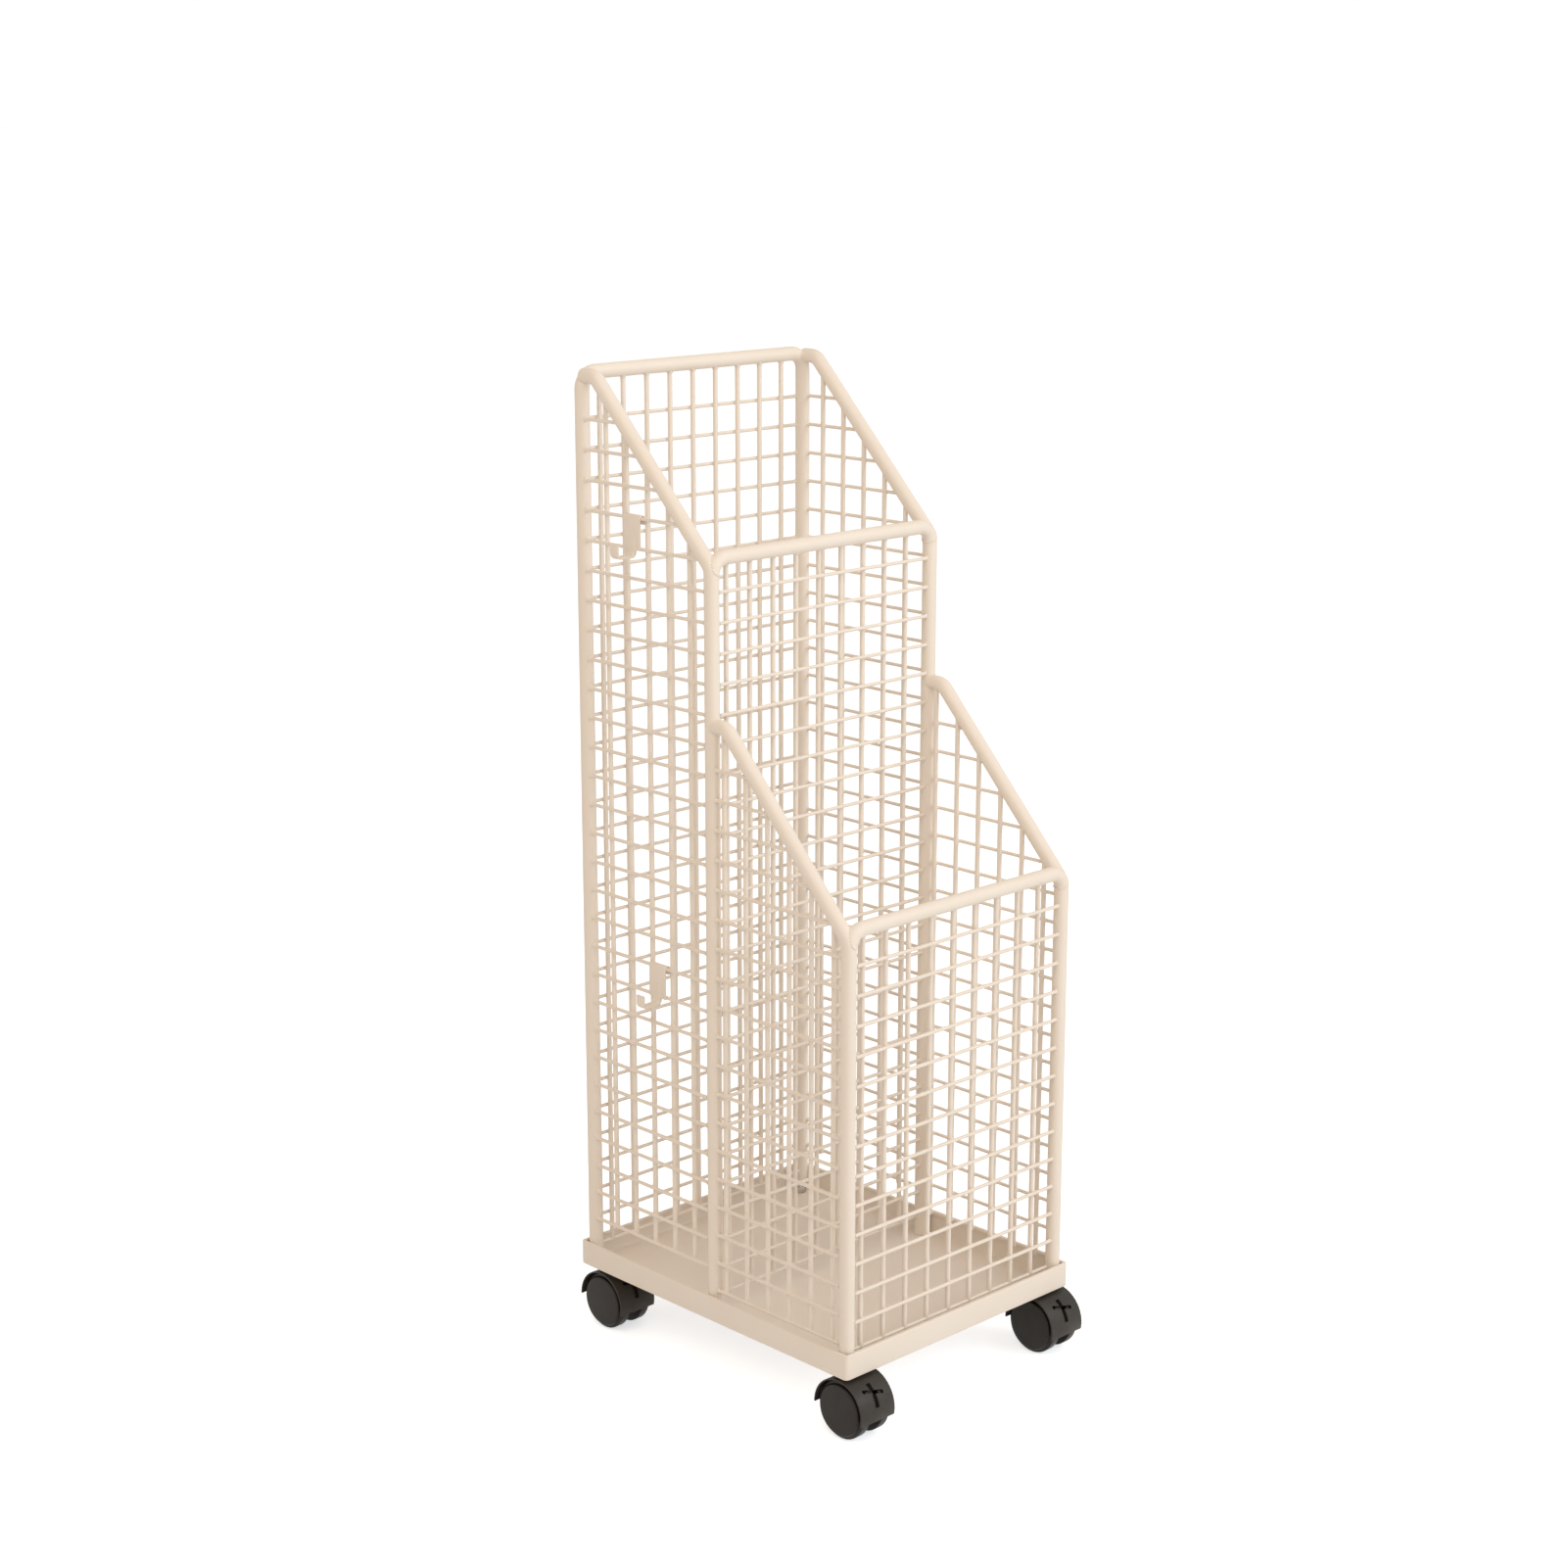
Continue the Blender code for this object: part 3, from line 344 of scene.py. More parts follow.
def carve(bm, tool, operation):
    # joins or cuts two meshes and hands back the result
    things = []
    for part in (bm, tool):
        bmesh.ops.recalc_face_normals(part, faces=part.faces)
        mesh = bpy.data.meshes.new("part")
        part.to_mesh(mesh)
        part.free()
        things.append(bpy.data.objects.new("part", mesh))
        bpy.context.scene.collection.objects.link(things[-1])
    cut = things[0].modifiers.new("cut", "BOOLEAN")
    cut.operation = operation
    cut.solver = "EXACT"
    cut.use_self = operation == "UNION"
    cut.object = things[1]
    bpy.context.view_layer.update()
    solved = things[0].evaluated_get(bpy.context.evaluated_depsgraph_get())
    result = bmesh.new()
    result.from_mesh(solved.to_mesh())
    solved.to_mesh_clear()
    for thing in things:
        mesh = thing.data
        bpy.data.objects.remove(thing)
        bpy.data.meshes.remove(mesh)
    return result


def curve(centerA, centerB, radius, start, end, steps):
    # points of an arc as pairs, angles in degrees
    turns = [math.radians(start + (end - start) * k / steps) for k in range(steps + 1)]
    return [(centerA + radius * math.cos(turn), centerB + radius * math.sin(turn)) for turn in turns]


def roundedPath(corners):
    # the axis of a bent tube as close points
    points = [Vector(corners[0])]
    for before, corner, after in zip(corners, corners[1:], corners[2:]):
        corner = Vector(corner)
        arriving = (corner - Vector(before)).normalized()
        leaving = (Vector(after) - corner).normalized()
        angle = arriving.angle(leaving)
        inward = (leaving - arriving * arriving.dot(leaving)).normalized()
        center = corner - arriving * (rack["bendR"] * math.tan(angle / 2)) + inward * rack["bendR"]
        for k in range(seam["bendSteps"] + 1):
            turn = angle * k / seam["bendSteps"]
            points.append(center + (arriving * math.sin(turn) - inward * math.cos(turn)) * rack["bendR"])
    points.append(Vector(corners[-1]))
    return points


def axisDistance(path, spot):
    best = 1.0
    for a, b in zip(path, path[1:]):
        along = b - a
        t = max(0.0, min(1.0, (spot - a).dot(along) / max(along.length_squared, 1e-12)))
        best = min(best, (spot - a - along * t).length)
    return best


def addSeam(bm, corners, otherCorners, normal, near):
    # a rippled weld where one bent tube runs into another
    other = roundedPath(otherCorners)
    path = roundedPath(corners)
    fine = []
    for a, b in zip(path, path[1:]):
        count = max(1, int((b - a).length / seam["step"]))
        fine += [(a.lerp(b, k / count), (b - a).normalized()) for k in range(count)]
    fine = [(spot, tangent) for spot, tangent in fine if (spot - near).length < seam["reach"]]
    for k in range(seam["beads"]):
        turn = math.tau * k / seam["beads"]
        last = None
        for spot, tangent in fine:
            side = tangent.cross(normal) * math.cos(turn) + normal * math.sin(turn)
            skin = spot + side * rack["tubeR"]
            depth = axisDistance(other, skin) - rack["tubeR"] - seam["bite"]
            if last is not None and last[1] * depth < 0:
                at = last[0].lerp(skin, last[1] / (last[1] - depth))
                bmesh.ops.create_icosphere(bm, subdivisions=1, radius=seam["beadR"],
                                           matrix=Matrix.Translation(at))
            last = (skin, depth)


postX, bay, rimZ = rack["postX"], rack["bayDeep"], rack["rimZ"]
footZ = rack["floorZ"] + rack["gap"]
backZ = rimZ + rack["backRail"]
middleZ = rimZ + rack["middleRail"]
lowSideZ = rimZ + rack["lowSideRail"]
lowFrontZ = rimZ + rack["lowFrontRail"]
tallSideZ = rimZ + rack["tallSideRail"]
wireEnd = postX - rack["tubeR"] + wires["sink"]


def crossPanelWires(bm, y, railZ, outward):
    # the grid of a panel that faces front or back, with its cross wires on the outward side
    crossY = y + outward * wires["crossOut"]
    uprightY = y - outward * wires["uprightIn"]
    bottomZ = rimZ - wires["bottomDrop"]
    top = railZ - rack["tubeR"]
    lastX = postX - rack["tubeR"] - wires["lastAcross"]
    uprights = stepsBetween(wires["firstAcross"] - postX, wires["pitchAcross"], lastX)
    rises = stepsBetween(wires["crossPanel"], wires["pitchUp"], railZ - rimZ - wires["topClear"])
    heights = [rimZ + rise for rise in rises]
    thin, thick, sides = wires["crossR"], wires["uprightR"], wires["sides"]
    for z in heights:
        addRod(bm, Vector((-wireEnd, crossY, z)), Vector((wireEnd, crossY, z)), thin, sides)
        for side in (-1, 1):
            addCollar(bm, Vector((side * (postX - rack["tubeR"]), crossY, z)), alongX * -side, thin)
    addRod(bm, Vector((-wireEnd, uprightY, bottomZ)), Vector((wireEnd, uprightY, bottomZ)), thin, sides)
    for x in uprights:
        addRod(bm, Vector((x, uprightY, bottomZ)), Vector((x, uprightY, top + wires["tuck"])), thick, sides)
        addCollar(bm, Vector((x, uprightY, top)), -alongZ, thick)
        addWeld(bm, Vector((x, uprightY, bottomZ)), alongY)
        for z in heights:
            addWeld(bm, Vector((x, y + outward * wires["weldAt"], z)), alongY)


def railHeight(rail, y):
    for (y0, z0), (y1, z1) in zip(rail, rail[1:]):
        if y0 <= y <= y1:
            return z0 + (z1 - z0) * (y - y0) / (y1 - y0)
    return rail[-1][1]


def railPlace(rail, z):
    for (y0, z0), (y1, z1) in zip(rail, rail[1:]):
        if z0 <= z <= z1 and z1 > z0:
            return y0 + (y1 - y0) * (z - z0) / (z1 - z0)
    return rail[0][0]


def sidePanelWires(bm, side, corners, backY, firstUpright, firstCross):
    # the grid under a sloping side tube, with its cross wires on the outer side
    rail = [(y, z) for _, y, z in reversed(corners[:-1])]
    frontY, frontZ = rail[0]
    topZ = rail[-1][1]
    crossX = side * (postX + wires["crossOut"])
    uprightX = side * (postX - wires["uprightIn"])
    slant = math.atan2(rail[1][1] - frontZ, rail[1][0] - frontY)
    under = rack["tubeR"] / math.cos(slant)
    highEnd = backY - rack["tubeR"] + wires["sink"]
    thin, thick, sides = wires["crossR"], wires["uprightR"], wires["sides"]
    heights = []
    for rise in stepsBetween(firstCross, wires["pitchUp"], topZ - rimZ - wires["topClear"]):
        z = rimZ + rise
        freeFrom = railPlace(rail, z + under)
        if highEnd - freeFrom < wires["shortest"]:
            continue
        heights.append((z, freeFrom))
        addRod(bm, Vector((crossX, railPlace(rail, z), z)), Vector((crossX, highEnd, z)), thin, sides)
        addCollar(bm, Vector((crossX, backY - rack["tubeR"], z)), -alongY, thin)
        if z < frontZ - rack["tubeR"]:
            addCollar(bm, Vector((crossX, frontY + rack["tubeR"], z)), alongY, thin)
    for y in stepsBetween(frontY + firstUpright, wires["pitchDeep"], highEnd - wires["lastDeep"]):
        top = railHeight(rail, y)
        addRod(bm, Vector((uprightX, y, heights[0][0] - thin)), Vector((uprightX, y, top)), thick, sides)
        for z, freeFrom in heights:
            if y > freeFrom - wires["weldClear"] and z < top - rack["tubeR"]:
                addWeld(bm, Vector((side * (postX + wires["weldAt"]), y, z)), alongX)


def backCorners():
    return [(-postX, bay, footZ), (-postX, bay, backZ), (postX, bay, backZ), (postX, bay, footZ)]


def railCorners(y, railZ):
    drop = railZ - rack["bendR"] - rack["railEnd"]
    return [(-postX, y, drop), (-postX, y, railZ), (postX, y, railZ), (postX, y, drop)]


def tallCorners(x):
    endY = bay - rack["tubeR"] + rack["railSeat"]
    return [(x, endY, tallSideZ), (x, bay - rack["knee"], tallSideZ),
            (x, 0, middleZ - rack["cornerDrop"]), (x, 0, footZ)]


def lowCorners(x):
    return [(x, -rack["lowSeat"], lowSideZ), (x, -rack["knee"], lowSideZ),
            (x, -bay, lowFrontZ - rack["cornerDrop"]), (x, -bay, footZ)]


def makeRailFrame(name, node, y, railZ, sideCorners):
    # a rail on two posts, coped and welded to the side tubes
    bm = bmesh.new()
    bentTube(bm, railCorners(y, railZ), rack["tubeR"] * rack["railFit"])
    crossPanelWires(bm, y, railZ, -1)
    for side in (-1, 1):
        near = Vector((side * postX, y, railZ - rack["bendR"] / 2))
        addSeam(bm, railCorners(y, railZ), sideCorners(side * postX), alongY, near)
    finishPiece(name, bm, creamPaint, "rack", [node])


def makeFrames():
    bm = bmesh.new()
    bentTube(bm, backCorners(), rack["tubeR"])
    crossPanelWires(bm, bay, backZ, 1)
    finishPiece("backFrame", bm, creamPaint, "rack", ["back_panel"])
    makeRailFrame("middleFrame", "middle_panel", 0.0, middleZ, tallCorners)
    makeRailFrame("lowFrontFrame", "low_front_panel", -bay, lowFrontZ, lowCorners)
    for word, side in (("Left", -1), ("Right", 1)):
        x = side * postX
        bm = bmesh.new()
        bentTube(bm, tallCorners(x), rack["tubeR"])
        addDome(bm, Vector(tallCorners(x)[0]), alongY)
        sidePanelWires(bm, side, tallCorners(x), bay, wires["firstTallSide"], wires["crossTallSide"])
        addSeam(bm, tallCorners(x), backCorners(), alongX, Vector((x, bay, tallSideZ)))
        finishPiece("tallSide" + word, bm, creamPaint, "rack", ["tall_side_" + word.lower()])
        bm = bmesh.new()
        bentTube(bm, lowCorners(x), rack["tubeR"])
        sidePanelWires(bm, side, lowCorners(x), 0.0, wires["firstLowSide"], wires["crossLowSide"])
        addSeam(bm, lowCorners(x), tallCorners(x), alongX, Vector((x, 0, lowSideZ)))
        finishPiece("lowSide" + word, bm, creamPaint, "rack", ["low_side_" + word.lower()])


makeFrames()
print("tube frames and wires ready")


tray = {
    "halfX": 135.85 * mm, "halfY": 165.05 * mm, "lift": 54.0 * mm, "high": 21.6 * mm, "sheet": 1.2 * mm,
    "hem": 2.4 * mm, "lip": 2.95 * mm, "fold": 1.5 * mm, "rimR": 0.8 * mm, "lipR": 0.5 * mm,
    "corner": 4.0 * mm, "leastCorner": 1.0 * mm, "cornerSteps": 8,
    "holeR": 3.3 * mm, "holeSides": 24, "holeFrom": -2.0 * mm, "holeTo": 4.0 * mm,
}


def trayOutline(inset, height):
    radius = max(tray["corner"] - inset, tray["leastCorner"])
    halfX, halfY = tray["halfX"] - inset - radius, tray["halfY"] - inset - radius
    spots = []
    for signX, signY, start in ((1, 1, 0), (-1, 1, 90), (-1, -1, 180), (1, -1, 270)):
        spots += curve(signX * halfX, signY * halfY, radius, start, start + 90, tray["cornerSteps"])
    return [Vector((x, y, tray["lift"] + height)) for x, y in spots]


def traySection():
    # (inset, height) pairs of the sheet from the underside, up the wall, over the rim and down to the floor
    top, fold, sheet, rimR, lipR = (tray[key] for key in ("high", "fold", "sheet", "rimR", "lipR"))
    section = curve(fold, fold, fold, 270, 180, 5) + curve(rimR, top - rimR, rimR, 180, 90, 4)
    section += curve(tray["lip"] - lipR, top - lipR, lipR, 90, 0, 3)
    section += curve(tray["lip"] - lipR, top - tray["hem"] + lipR, lipR, 0, -90, 3)
    section += [(sheet, top - tray["hem"])]
    return section + curve(sheet + fold, sheet + fold, fold, 180, 270, 5)


def makeTray():
    section = traySection()
    bm = bmesh.new()
    verts = [bm.verts.new(spot) for spot in trayOutline(*section[0])]
    ring = [bm.edges.new((verts[k - 1], verts[k])) for k in range(len(verts))]
    underside = ring
    for inset, height in section[1:]:
        ring, fresh = extrudeRing(bm, ring)
        verts = [next(edge.other_vert(vert) for edge in vert.link_edges if edge.other_vert(vert) in fresh)
                 for vert in verts]
        for vert, spot in zip(verts, trayOutline(inset, height)):
            vert.co = spot
    bmesh.ops.edgeloop_fill(bm, edges=underside)
    bmesh.ops.edgeloop_fill(bm, edges=ring)
    holes = bmesh.new()
    low, high = alongZ * (tray["lift"] + tray["holeFrom"]), alongZ * (tray["lift"] + tray["holeTo"])
    for x, y in casterPlaces.values():
        addRod(holes, Vector((x, y, 0)) + low, Vector((x, y, 0)) + high, tray["holeR"], tray["holeSides"])
    finishPiece("trayPressing", carve(bm, holes, "DIFFERENCE"), creamPaint, "rack", ["tray"], smoothAngle=30)


# angles are in degrees about the axle, from the front upward
caster = {
    "swivelX": 116.45 * mm, "swivelY": 146.85 * mm, "trail": 8.0 * mm, "axleZ": 25.0 * mm,
    "inner": 25.9 * mm, "outer": 27.2 * mm, "half": 19.3 * mm, "edge": 0.5 * mm, "innerEdge": 0.2 * mm,
    "front": -12.0, "rear": 180.0, "steps": 60, "webInset": 2.0, "webSteps": 40, "webHalf": 3.4 * mm,
    "heelAngles": (210, 240, 270, 300, 330), "hubR": 6.0 * mm, "hubHalf": 6.2 * mm, "hubSides": 32,
    "socketR": 6.1 * mm, "socketFoot": 20.0 * mm, "padR": 6.45 * mm, "padDeep": 6.0 * mm,
    "stemHole": 4.3 * mm, "axleHole": 2.8 * mm, "axleCut": 8.0 * mm, "past": 1.0 * mm,
    "ringRoom": 5.3 * mm, "ringTop": 3.5 * mm, "holeSides": 24, "axleSides": 20,
    "grooveHalf": 2.2 * mm, "grooveDeep": 3.4 * mm, "groovePast": 2.0 * mm,
    "grooveTop": 58.0, "grooveFoot": 13.0, "grooveSteps": 18,
    "branchLeft": 10.0 * mm, "branchLeftAngle": 47.0, "branchRight": 10.5 * mm, "branchRightAngle": 35.0,
    "branchWide": 3.2 * mm, "branchDeep": 4.6 * mm, "branchCorner": 1.2 * mm,
}
casterPlaces = {
    "front_left": (-caster["swivelX"], -caster["swivelY"]),
    "front_right": (caster["swivelX"], -caster["swivelY"]),
    "back_left": (-caster["swivelX"], caster["swivelY"]),
    "back_right": (caster["swivelX"], caster["swivelY"]),
}


def aroundAxle(x, radius, degrees):
    turn = math.radians(degrees)
    return Vector((x, -radius * math.cos(turn), radius * math.sin(turn)))


def hoodWeb():
    # the web between the mudguards, with the hub and the socket for the stem
    inner, outer = caster["inner"], caster["outer"]
    web = bmesh.new()
    first, last = caster["front"] + caster["webInset"], caster["rear"] - caster["webInset"]
    rim = [aroundAxle(0, (inner + outer) / 2, first + (last - first) * k / caster["webSteps"])
           for k in range(caster["webSteps"] + 1)]
    rim += [aroundAxle(0, caster["hubR"] + caster["webHalf"], angle) for angle in caster["heelAngles"]]
    addSlab(web, [spot - alongX * caster["webHalf"] for spot in rim], alongX * caster["webHalf"] * 2)
    half, sides = alongX * caster["hubHalf"], caster["hubSides"]
    addRod(web, -half, half, caster["hubR"], sides)
    stemAt = alongY * caster["trail"]
    foot = caster["socketFoot"] - caster["axleZ"]
    padFoot = outer - caster["padDeep"]
    socketTop = outer - caster["padDeep"] / 2
    addRod(web, stemAt + alongZ * foot, stemAt + alongZ * socketTop, caster["socketR"], sides)
    addRod(web, stemAt + alongZ * padFoot, stemAt + alongZ * outer, caster["padR"], sides)
    return web


def cutHoles(hood):
    # the holes for the stem and the axle, the groove over the web and the room for the ring
    outer, past, sides = caster["outer"], caster["past"], caster["holeSides"]
    stemAt = alongY * caster["trail"]
    foot = caster["socketFoot"] - caster["axleZ"]
    low = stemAt + alongZ * (foot - past)
    half = alongX * caster["axleCut"]
    cuts = bmesh.new()
    addRod(cuts, low, stemAt + alongZ * (outer + past), caster["stemHole"], sides)
    addRod(cuts, -half, half, caster["axleHole"], caster["axleSides"])
    hood = carve(hood, cuts, "DIFFERENCE")
    wide, deep, high = caster["grooveHalf"], outer - caster["grooveDeep"], outer + caster["groovePast"]
    section = [(-wide, deep), (wide, deep), (wide, high), (-wide, high)]
    start = math.radians(caster["grooveFoot"])
    sweep = math.radians(caster["grooveTop"] - caster["grooveFoot"])
    pocket = spinLoop(section, start, sweep, caster["grooveSteps"], False)
    addRod(pocket, low, stemAt + alongZ * (foot + caster["ringTop"]), caster["ringRoom"], sides)
    return carve(hood, pocket, "DIFFERENCE")


def branchTool():
    # a bar with rounded corners, slanted across the groove
    outer, leftAngle, rightAngle = caster["outer"], caster["branchLeftAngle"], caster["branchRightAngle"]
    left = aroundAxle(-caster["branchLeft"], outer, leftAngle)
    right = aroundAxle(caster["branchRight"], outer, rightAngle)
    run = right - left
    out = aroundAxle(0, 1, (leftAngle + rightAngle) / 2)
    out = (out - run * (out.dot(run) / run.length_squared)).normalized()
    along = run.normalized()
    turned = Matrix((along, out.cross(along), out)).transposed().to_4x4()
    size = Matrix.Diagonal((run.length, caster["branchWide"], 2 * caster["branchDeep"], 1))
    bm = bmesh.new()
    bmesh.ops.create_cube(bm, size=1.0, matrix=Matrix.Translation((left + right) / 2) @ turned @ size)
    corners = [edge for edge in bm.edges
               if abs((edge.verts[1].co - edge.verts[0].co).normalized().dot(out)) > 0.9]
    bmesh.ops.bevel(bm, geom=corners, affect="EDGES", offset=caster["branchCorner"], segments=3, profile=0.5,
                    material=-1)
    return bm


def hoodShape():
    # two mudguards on one web, about the axle
    half, inner, outer = caster["half"], caster["inner"], caster["outer"]
    edge, innerEdge = caster["edge"], caster["innerEdge"]
    section = [(-half + innerEdge, inner), (half - innerEdge, inner), (half, inner + innerEdge)]
    section += curve(half - edge, outer - edge, edge, 0, 90, 4)
    section += curve(-half + edge, outer - edge, edge, 90, 180, 4)
    section += [(-half, inner + innerEdge)]
    front, sweep = math.radians(caster["front"]), math.radians(caster["rear"] - caster["front"])
    shell = spinLoop(section, front, sweep, caster["steps"], False)
    hood = cutHoles(carve(shell, hoodWeb(), "UNION"))
    return carve(hood, branchTool(), "DIFFERENCE")


wheelSizes = {
    "radius": 24.95 * mm, "innerX": 6.8 * mm, "bore": 2.9 * mm, "hubR": 9.0 * mm, "dishX": 8.6 * mm,
    "dishInner": 10.2 * mm, "dishOuter": 18.8 * mm, "rimInner": 20.2 * mm, "innerEdge": 1.1 * mm,
    "treadEnd": 14.3 * mm, "outerEdge": 0.9 * mm, "shoulderX": 15.2 * mm, "shoulderRise": 0.4 * mm,
    "discFoot": 15.5 * mm, "discR": 22.0 * mm, "discEdge": 1.3 * mm, "discEdgeIn": 1.9 * mm,
    "face": 18.9 * mm, "domeInset": 1.5 * mm, "domeHigh": 0.55 * mm, "domeSteps": 10, "steps": 72,
}


def wheelShape():
    # tread, a sunk shoulder and a low-domed outer disc; the outer face is toward +X
    size = wheelSizes
    radius, disc, face, innerX = size["radius"], size["discR"], size["face"], size["innerX"]
    innerEdge, outerEdge, discEdge = size["innerEdge"], size["outerEdge"], size["discEdge"]
    profile = [(innerX, size["bore"]), (innerX, size["hubR"]), (size["dishX"], size["dishInner"]),
               (size["dishX"], size["dishOuter"]), (innerX, size["rimInner"])]
    profile += curve(innerX + innerEdge, radius - innerEdge, innerEdge, 180, 90, 5)
    profile += curve(size["treadEnd"], radius - outerEdge, outerEdge, 90, 0, 4)
    profile += [(size["shoulderX"], disc + size["shoulderRise"]), (size["discFoot"], disc)]
    profile += curve(face - size["discEdgeIn"], disc - discEdge, discEdge, 75, 15, 4)
    for k in range(size["domeSteps"] + 1):
        rest = 1 - k / size["domeSteps"]
        profile.append((face - size["domeHigh"] * rest ** 2, (disc - size["domeInset"]) * rest))
    return spinLoop(profile, 0.0, math.tau, size["steps"], True)


# lengths in millimetres; the pairs are radius and height from the floor
stemSizes = {
    "profile": ((0, 20.3), (3.7, 20.3), (4.0, 20.6), (4.0, 21.9), (3.0, 21.9), (3.0, 23.5), (4.0, 23.5),
                (4.0, 52.5), (7.3, 52.5), (7.5, 52.7), (7.5, 53.5), (7.3, 53.7), (2.72, 53.7), (2.72, 61.6),
                (2.3, 62.0), (0, 62.0)),
    "ridge": ((2.6, 53.9), (2.98, 54.25), (2.6, 54.6)),
    "pitch": 1.0, "turns": 7, "turnSteps": 20, "sides": 32,
}
nutSizes = {"radius": 5.75 * mm, "high": 4.9 * mm, "middle": 58.0 * mm, "soft": 0.45 * mm}


def addProfile(bm, pairs):
    # an open chain of edges from (radius, height) pairs in millimetres
    verts = [bm.verts.new((r * mm, 0, z * mm)) for r, z in pairs]
    return [bm.edges.new(pair) for pair in zip(verts, verts[1:])]


def stemShape():
    # collar, pin and threaded tip, about Z
    turns, turnSteps = stemSizes["turns"], stemSizes["turnSteps"]
    bm = bmesh.new()
    bmesh.ops.spin(bm, geom=addProfile(bm, stemSizes["profile"]), cent=(0, 0, 0), axis=alongZ, angle=math.tau,
                   steps=stemSizes["sides"], use_merge=True, use_duplicate=False)
    bmesh.ops.spin(bm, geom=addProfile(bm, stemSizes["ridge"]), cent=(0, 0, 0), axis=alongZ,
                   dvec=(0, 0, stemSizes["pitch"] * mm / turnSteps), angle=math.tau * turns,
                   steps=turnSteps * turns, use_merge=False, use_duplicate=False)
    return bm


def nutShape():
    bm = bmesh.new()
    radius = nutSizes["radius"]
    bmesh.ops.create_cone(bm, cap_ends=True, segments=6, radius1=radius, radius2=radius,
                          depth=nutSizes["high"], matrix=Matrix.Translation((0, 0, nutSizes["middle"])))
    bmesh.ops.bevel(bm, geom=list(bm.edges), affect="EDGES", offset=nutSizes["soft"], segments=3, profile=0.5,
                    material=-1)
    return bm


def placedCopy(shape, x, y, z, flip=False):
    copy = shape.copy()
    if flip:
        copy.transform(Matrix.Rotation(math.pi, 4, "Z"))
    copy.transform(Matrix.Translation((x, y, z)))
    return copy


def makeCasters():
    hood, wheel, stem, nut = hoodShape(), wheelShape(), stemShape(), nutShape()
    for name, (x, y) in casterPlaces.items():
        label = name.split("_")[0] + name.split("_")[1].capitalize()
        axleY, axleZ = y - caster["trail"], caster["axleZ"]
        finishPiece(label + "Hood", placedCopy(hood, x, axleY, axleZ), hoodPlastic, name + "_swivel",
                    [name + "_caster_hood"], 30)
        for side in ("left", "right"):
            turned = placedCopy(wheel, x, axleY, axleZ, side == "left")
            finishPiece(label + side.capitalize() + "Wheel", turned, wheelPlastic,
                        name + "_" + side + "_roller", [name + "_" + side + "_wheel"])
        finishPiece(label + "Stem", placedCopy(stem, x, y, 0), platedSteel, "rack", [name + "_stem"],
                    30)
        finishPiece(label + "Nut", placedCopy(nut, x, y, 0), platedSteel, "rack", [name + "_stem_nut"],
                    30)
    for shape in (hood, wheel, stem, nut):
        shape.free()


makeTray()
makeCasters()
print("tray and casters ready")


hook = {
    "wide": 20.0 * mm, "sheet": 1.5 * mm, "flangeMid": -0.6 * mm, "plateMid": 4.1 * mm, "over": 2.35 * mm,
    "flange": 5.0 * mm, "plate": 26.0 * mm, "armWide": 9.0 * mm, "armSheet": 2.0 * mm, "armRoot": 12.0 * mm,
    "drop": 5.0 * mm, "reach": 19.0 * mm, "tip": 11.0 * mm, "bend": 4.0 * mm, "bendSteps": 8, "foldSteps": 10,
    "soft": 0.35 * mm, "armSoft": 0.5 * mm, "sharp": 1.2, "backClear": 0.02 * mm,
}
hookPlaces = {"upper_hook": (90.15 * mm, 723.1 * mm), "lower_hook": (65.05 * mm, 348.1 * mm)}


def addStrip(bm, spots, sheet, wide, soft):
    # a folded strip: the outline of its edge, pulled to its width, with softened edges
    spots = [Vector((-a, 0, b)) for a, b in spots]
    left, right = [], []
    for k, spot in enumerate(spots):
        ahead = (spots[min(k + 1, len(spots) - 1)] - spots[max(k - 1, 0)]).normalized()
        across = ahead.cross(alongY) * (sheet / 2)
        left.append(spot + across)
        right.append(spot - across)
    addSlab(bm, [spot - alongY * (wide / 2) for spot in left + right[::-1]], alongY * wide)
    bmesh.ops.recalc_face_normals(bm, faces=bm.faces)
    ends = [edge for edge in bm.edges
            if len(edge.link_faces) == 2 and edge.calc_face_angle(0) > hook["sharp"]]
    bmesh.ops.bevel(bm, geom=ends, affect="EDGES", offset=soft, segments=2, profile=0.5, material=-1)


def makeHooks():
    plate, flange, over, bend = hook["plateMid"], hook["flangeMid"], hook["over"], hook["bend"]
    foldR = (plate - flange) / 2
    fold = [(flange, -hook["flange"])]
    fold += curve(flange + foldR, over - foldR, foldR, 180, 0, hook["foldSteps"])
    fold += [(plate, -hook["plate"])]
    valley = -hook["plate"] - hook["drop"]
    far = plate + hook["reach"]
    # the arm's back stays clear of the mesh
    root = plate + (hook["armSheet"] - hook["sheet"]) / 2 + hook["backClear"]
    arm = [(root, -hook["plate"] + hook["armRoot"])]
    arm += curve(root + bend, valley + bend, bend, 180, 270, hook["bendSteps"])
    arm += curve(far - bend, valley + bend, bend, 270, 360, hook["bendSteps"])
    arm += [(far, valley + hook["tip"])]
    for name, (y, z) in hookPlaces.items():
        bm = bmesh.new()
        addStrip(bm, fold, hook["sheet"], hook["wide"], hook["soft"])
        strip = bmesh.new()
        addStrip(strip, arm, hook["armSheet"], hook["armWide"], hook["armSoft"])
        bm = carve(bm, strip, "UNION")
        bm.transform(Matrix.Translation((-postX, y, z)))
        finishPiece(name.split("_")[0] + "Hook", bm, creamPaint, name + "_body", [name], smoothAngle=30)


makeHooks()
print("hooks ready")


def dressNodes():
    # what the solids still show: rings and axles
    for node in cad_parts.values():
        node.data.materials.clear()
        node.data.materials.append(platedSteel)


dressNodes()


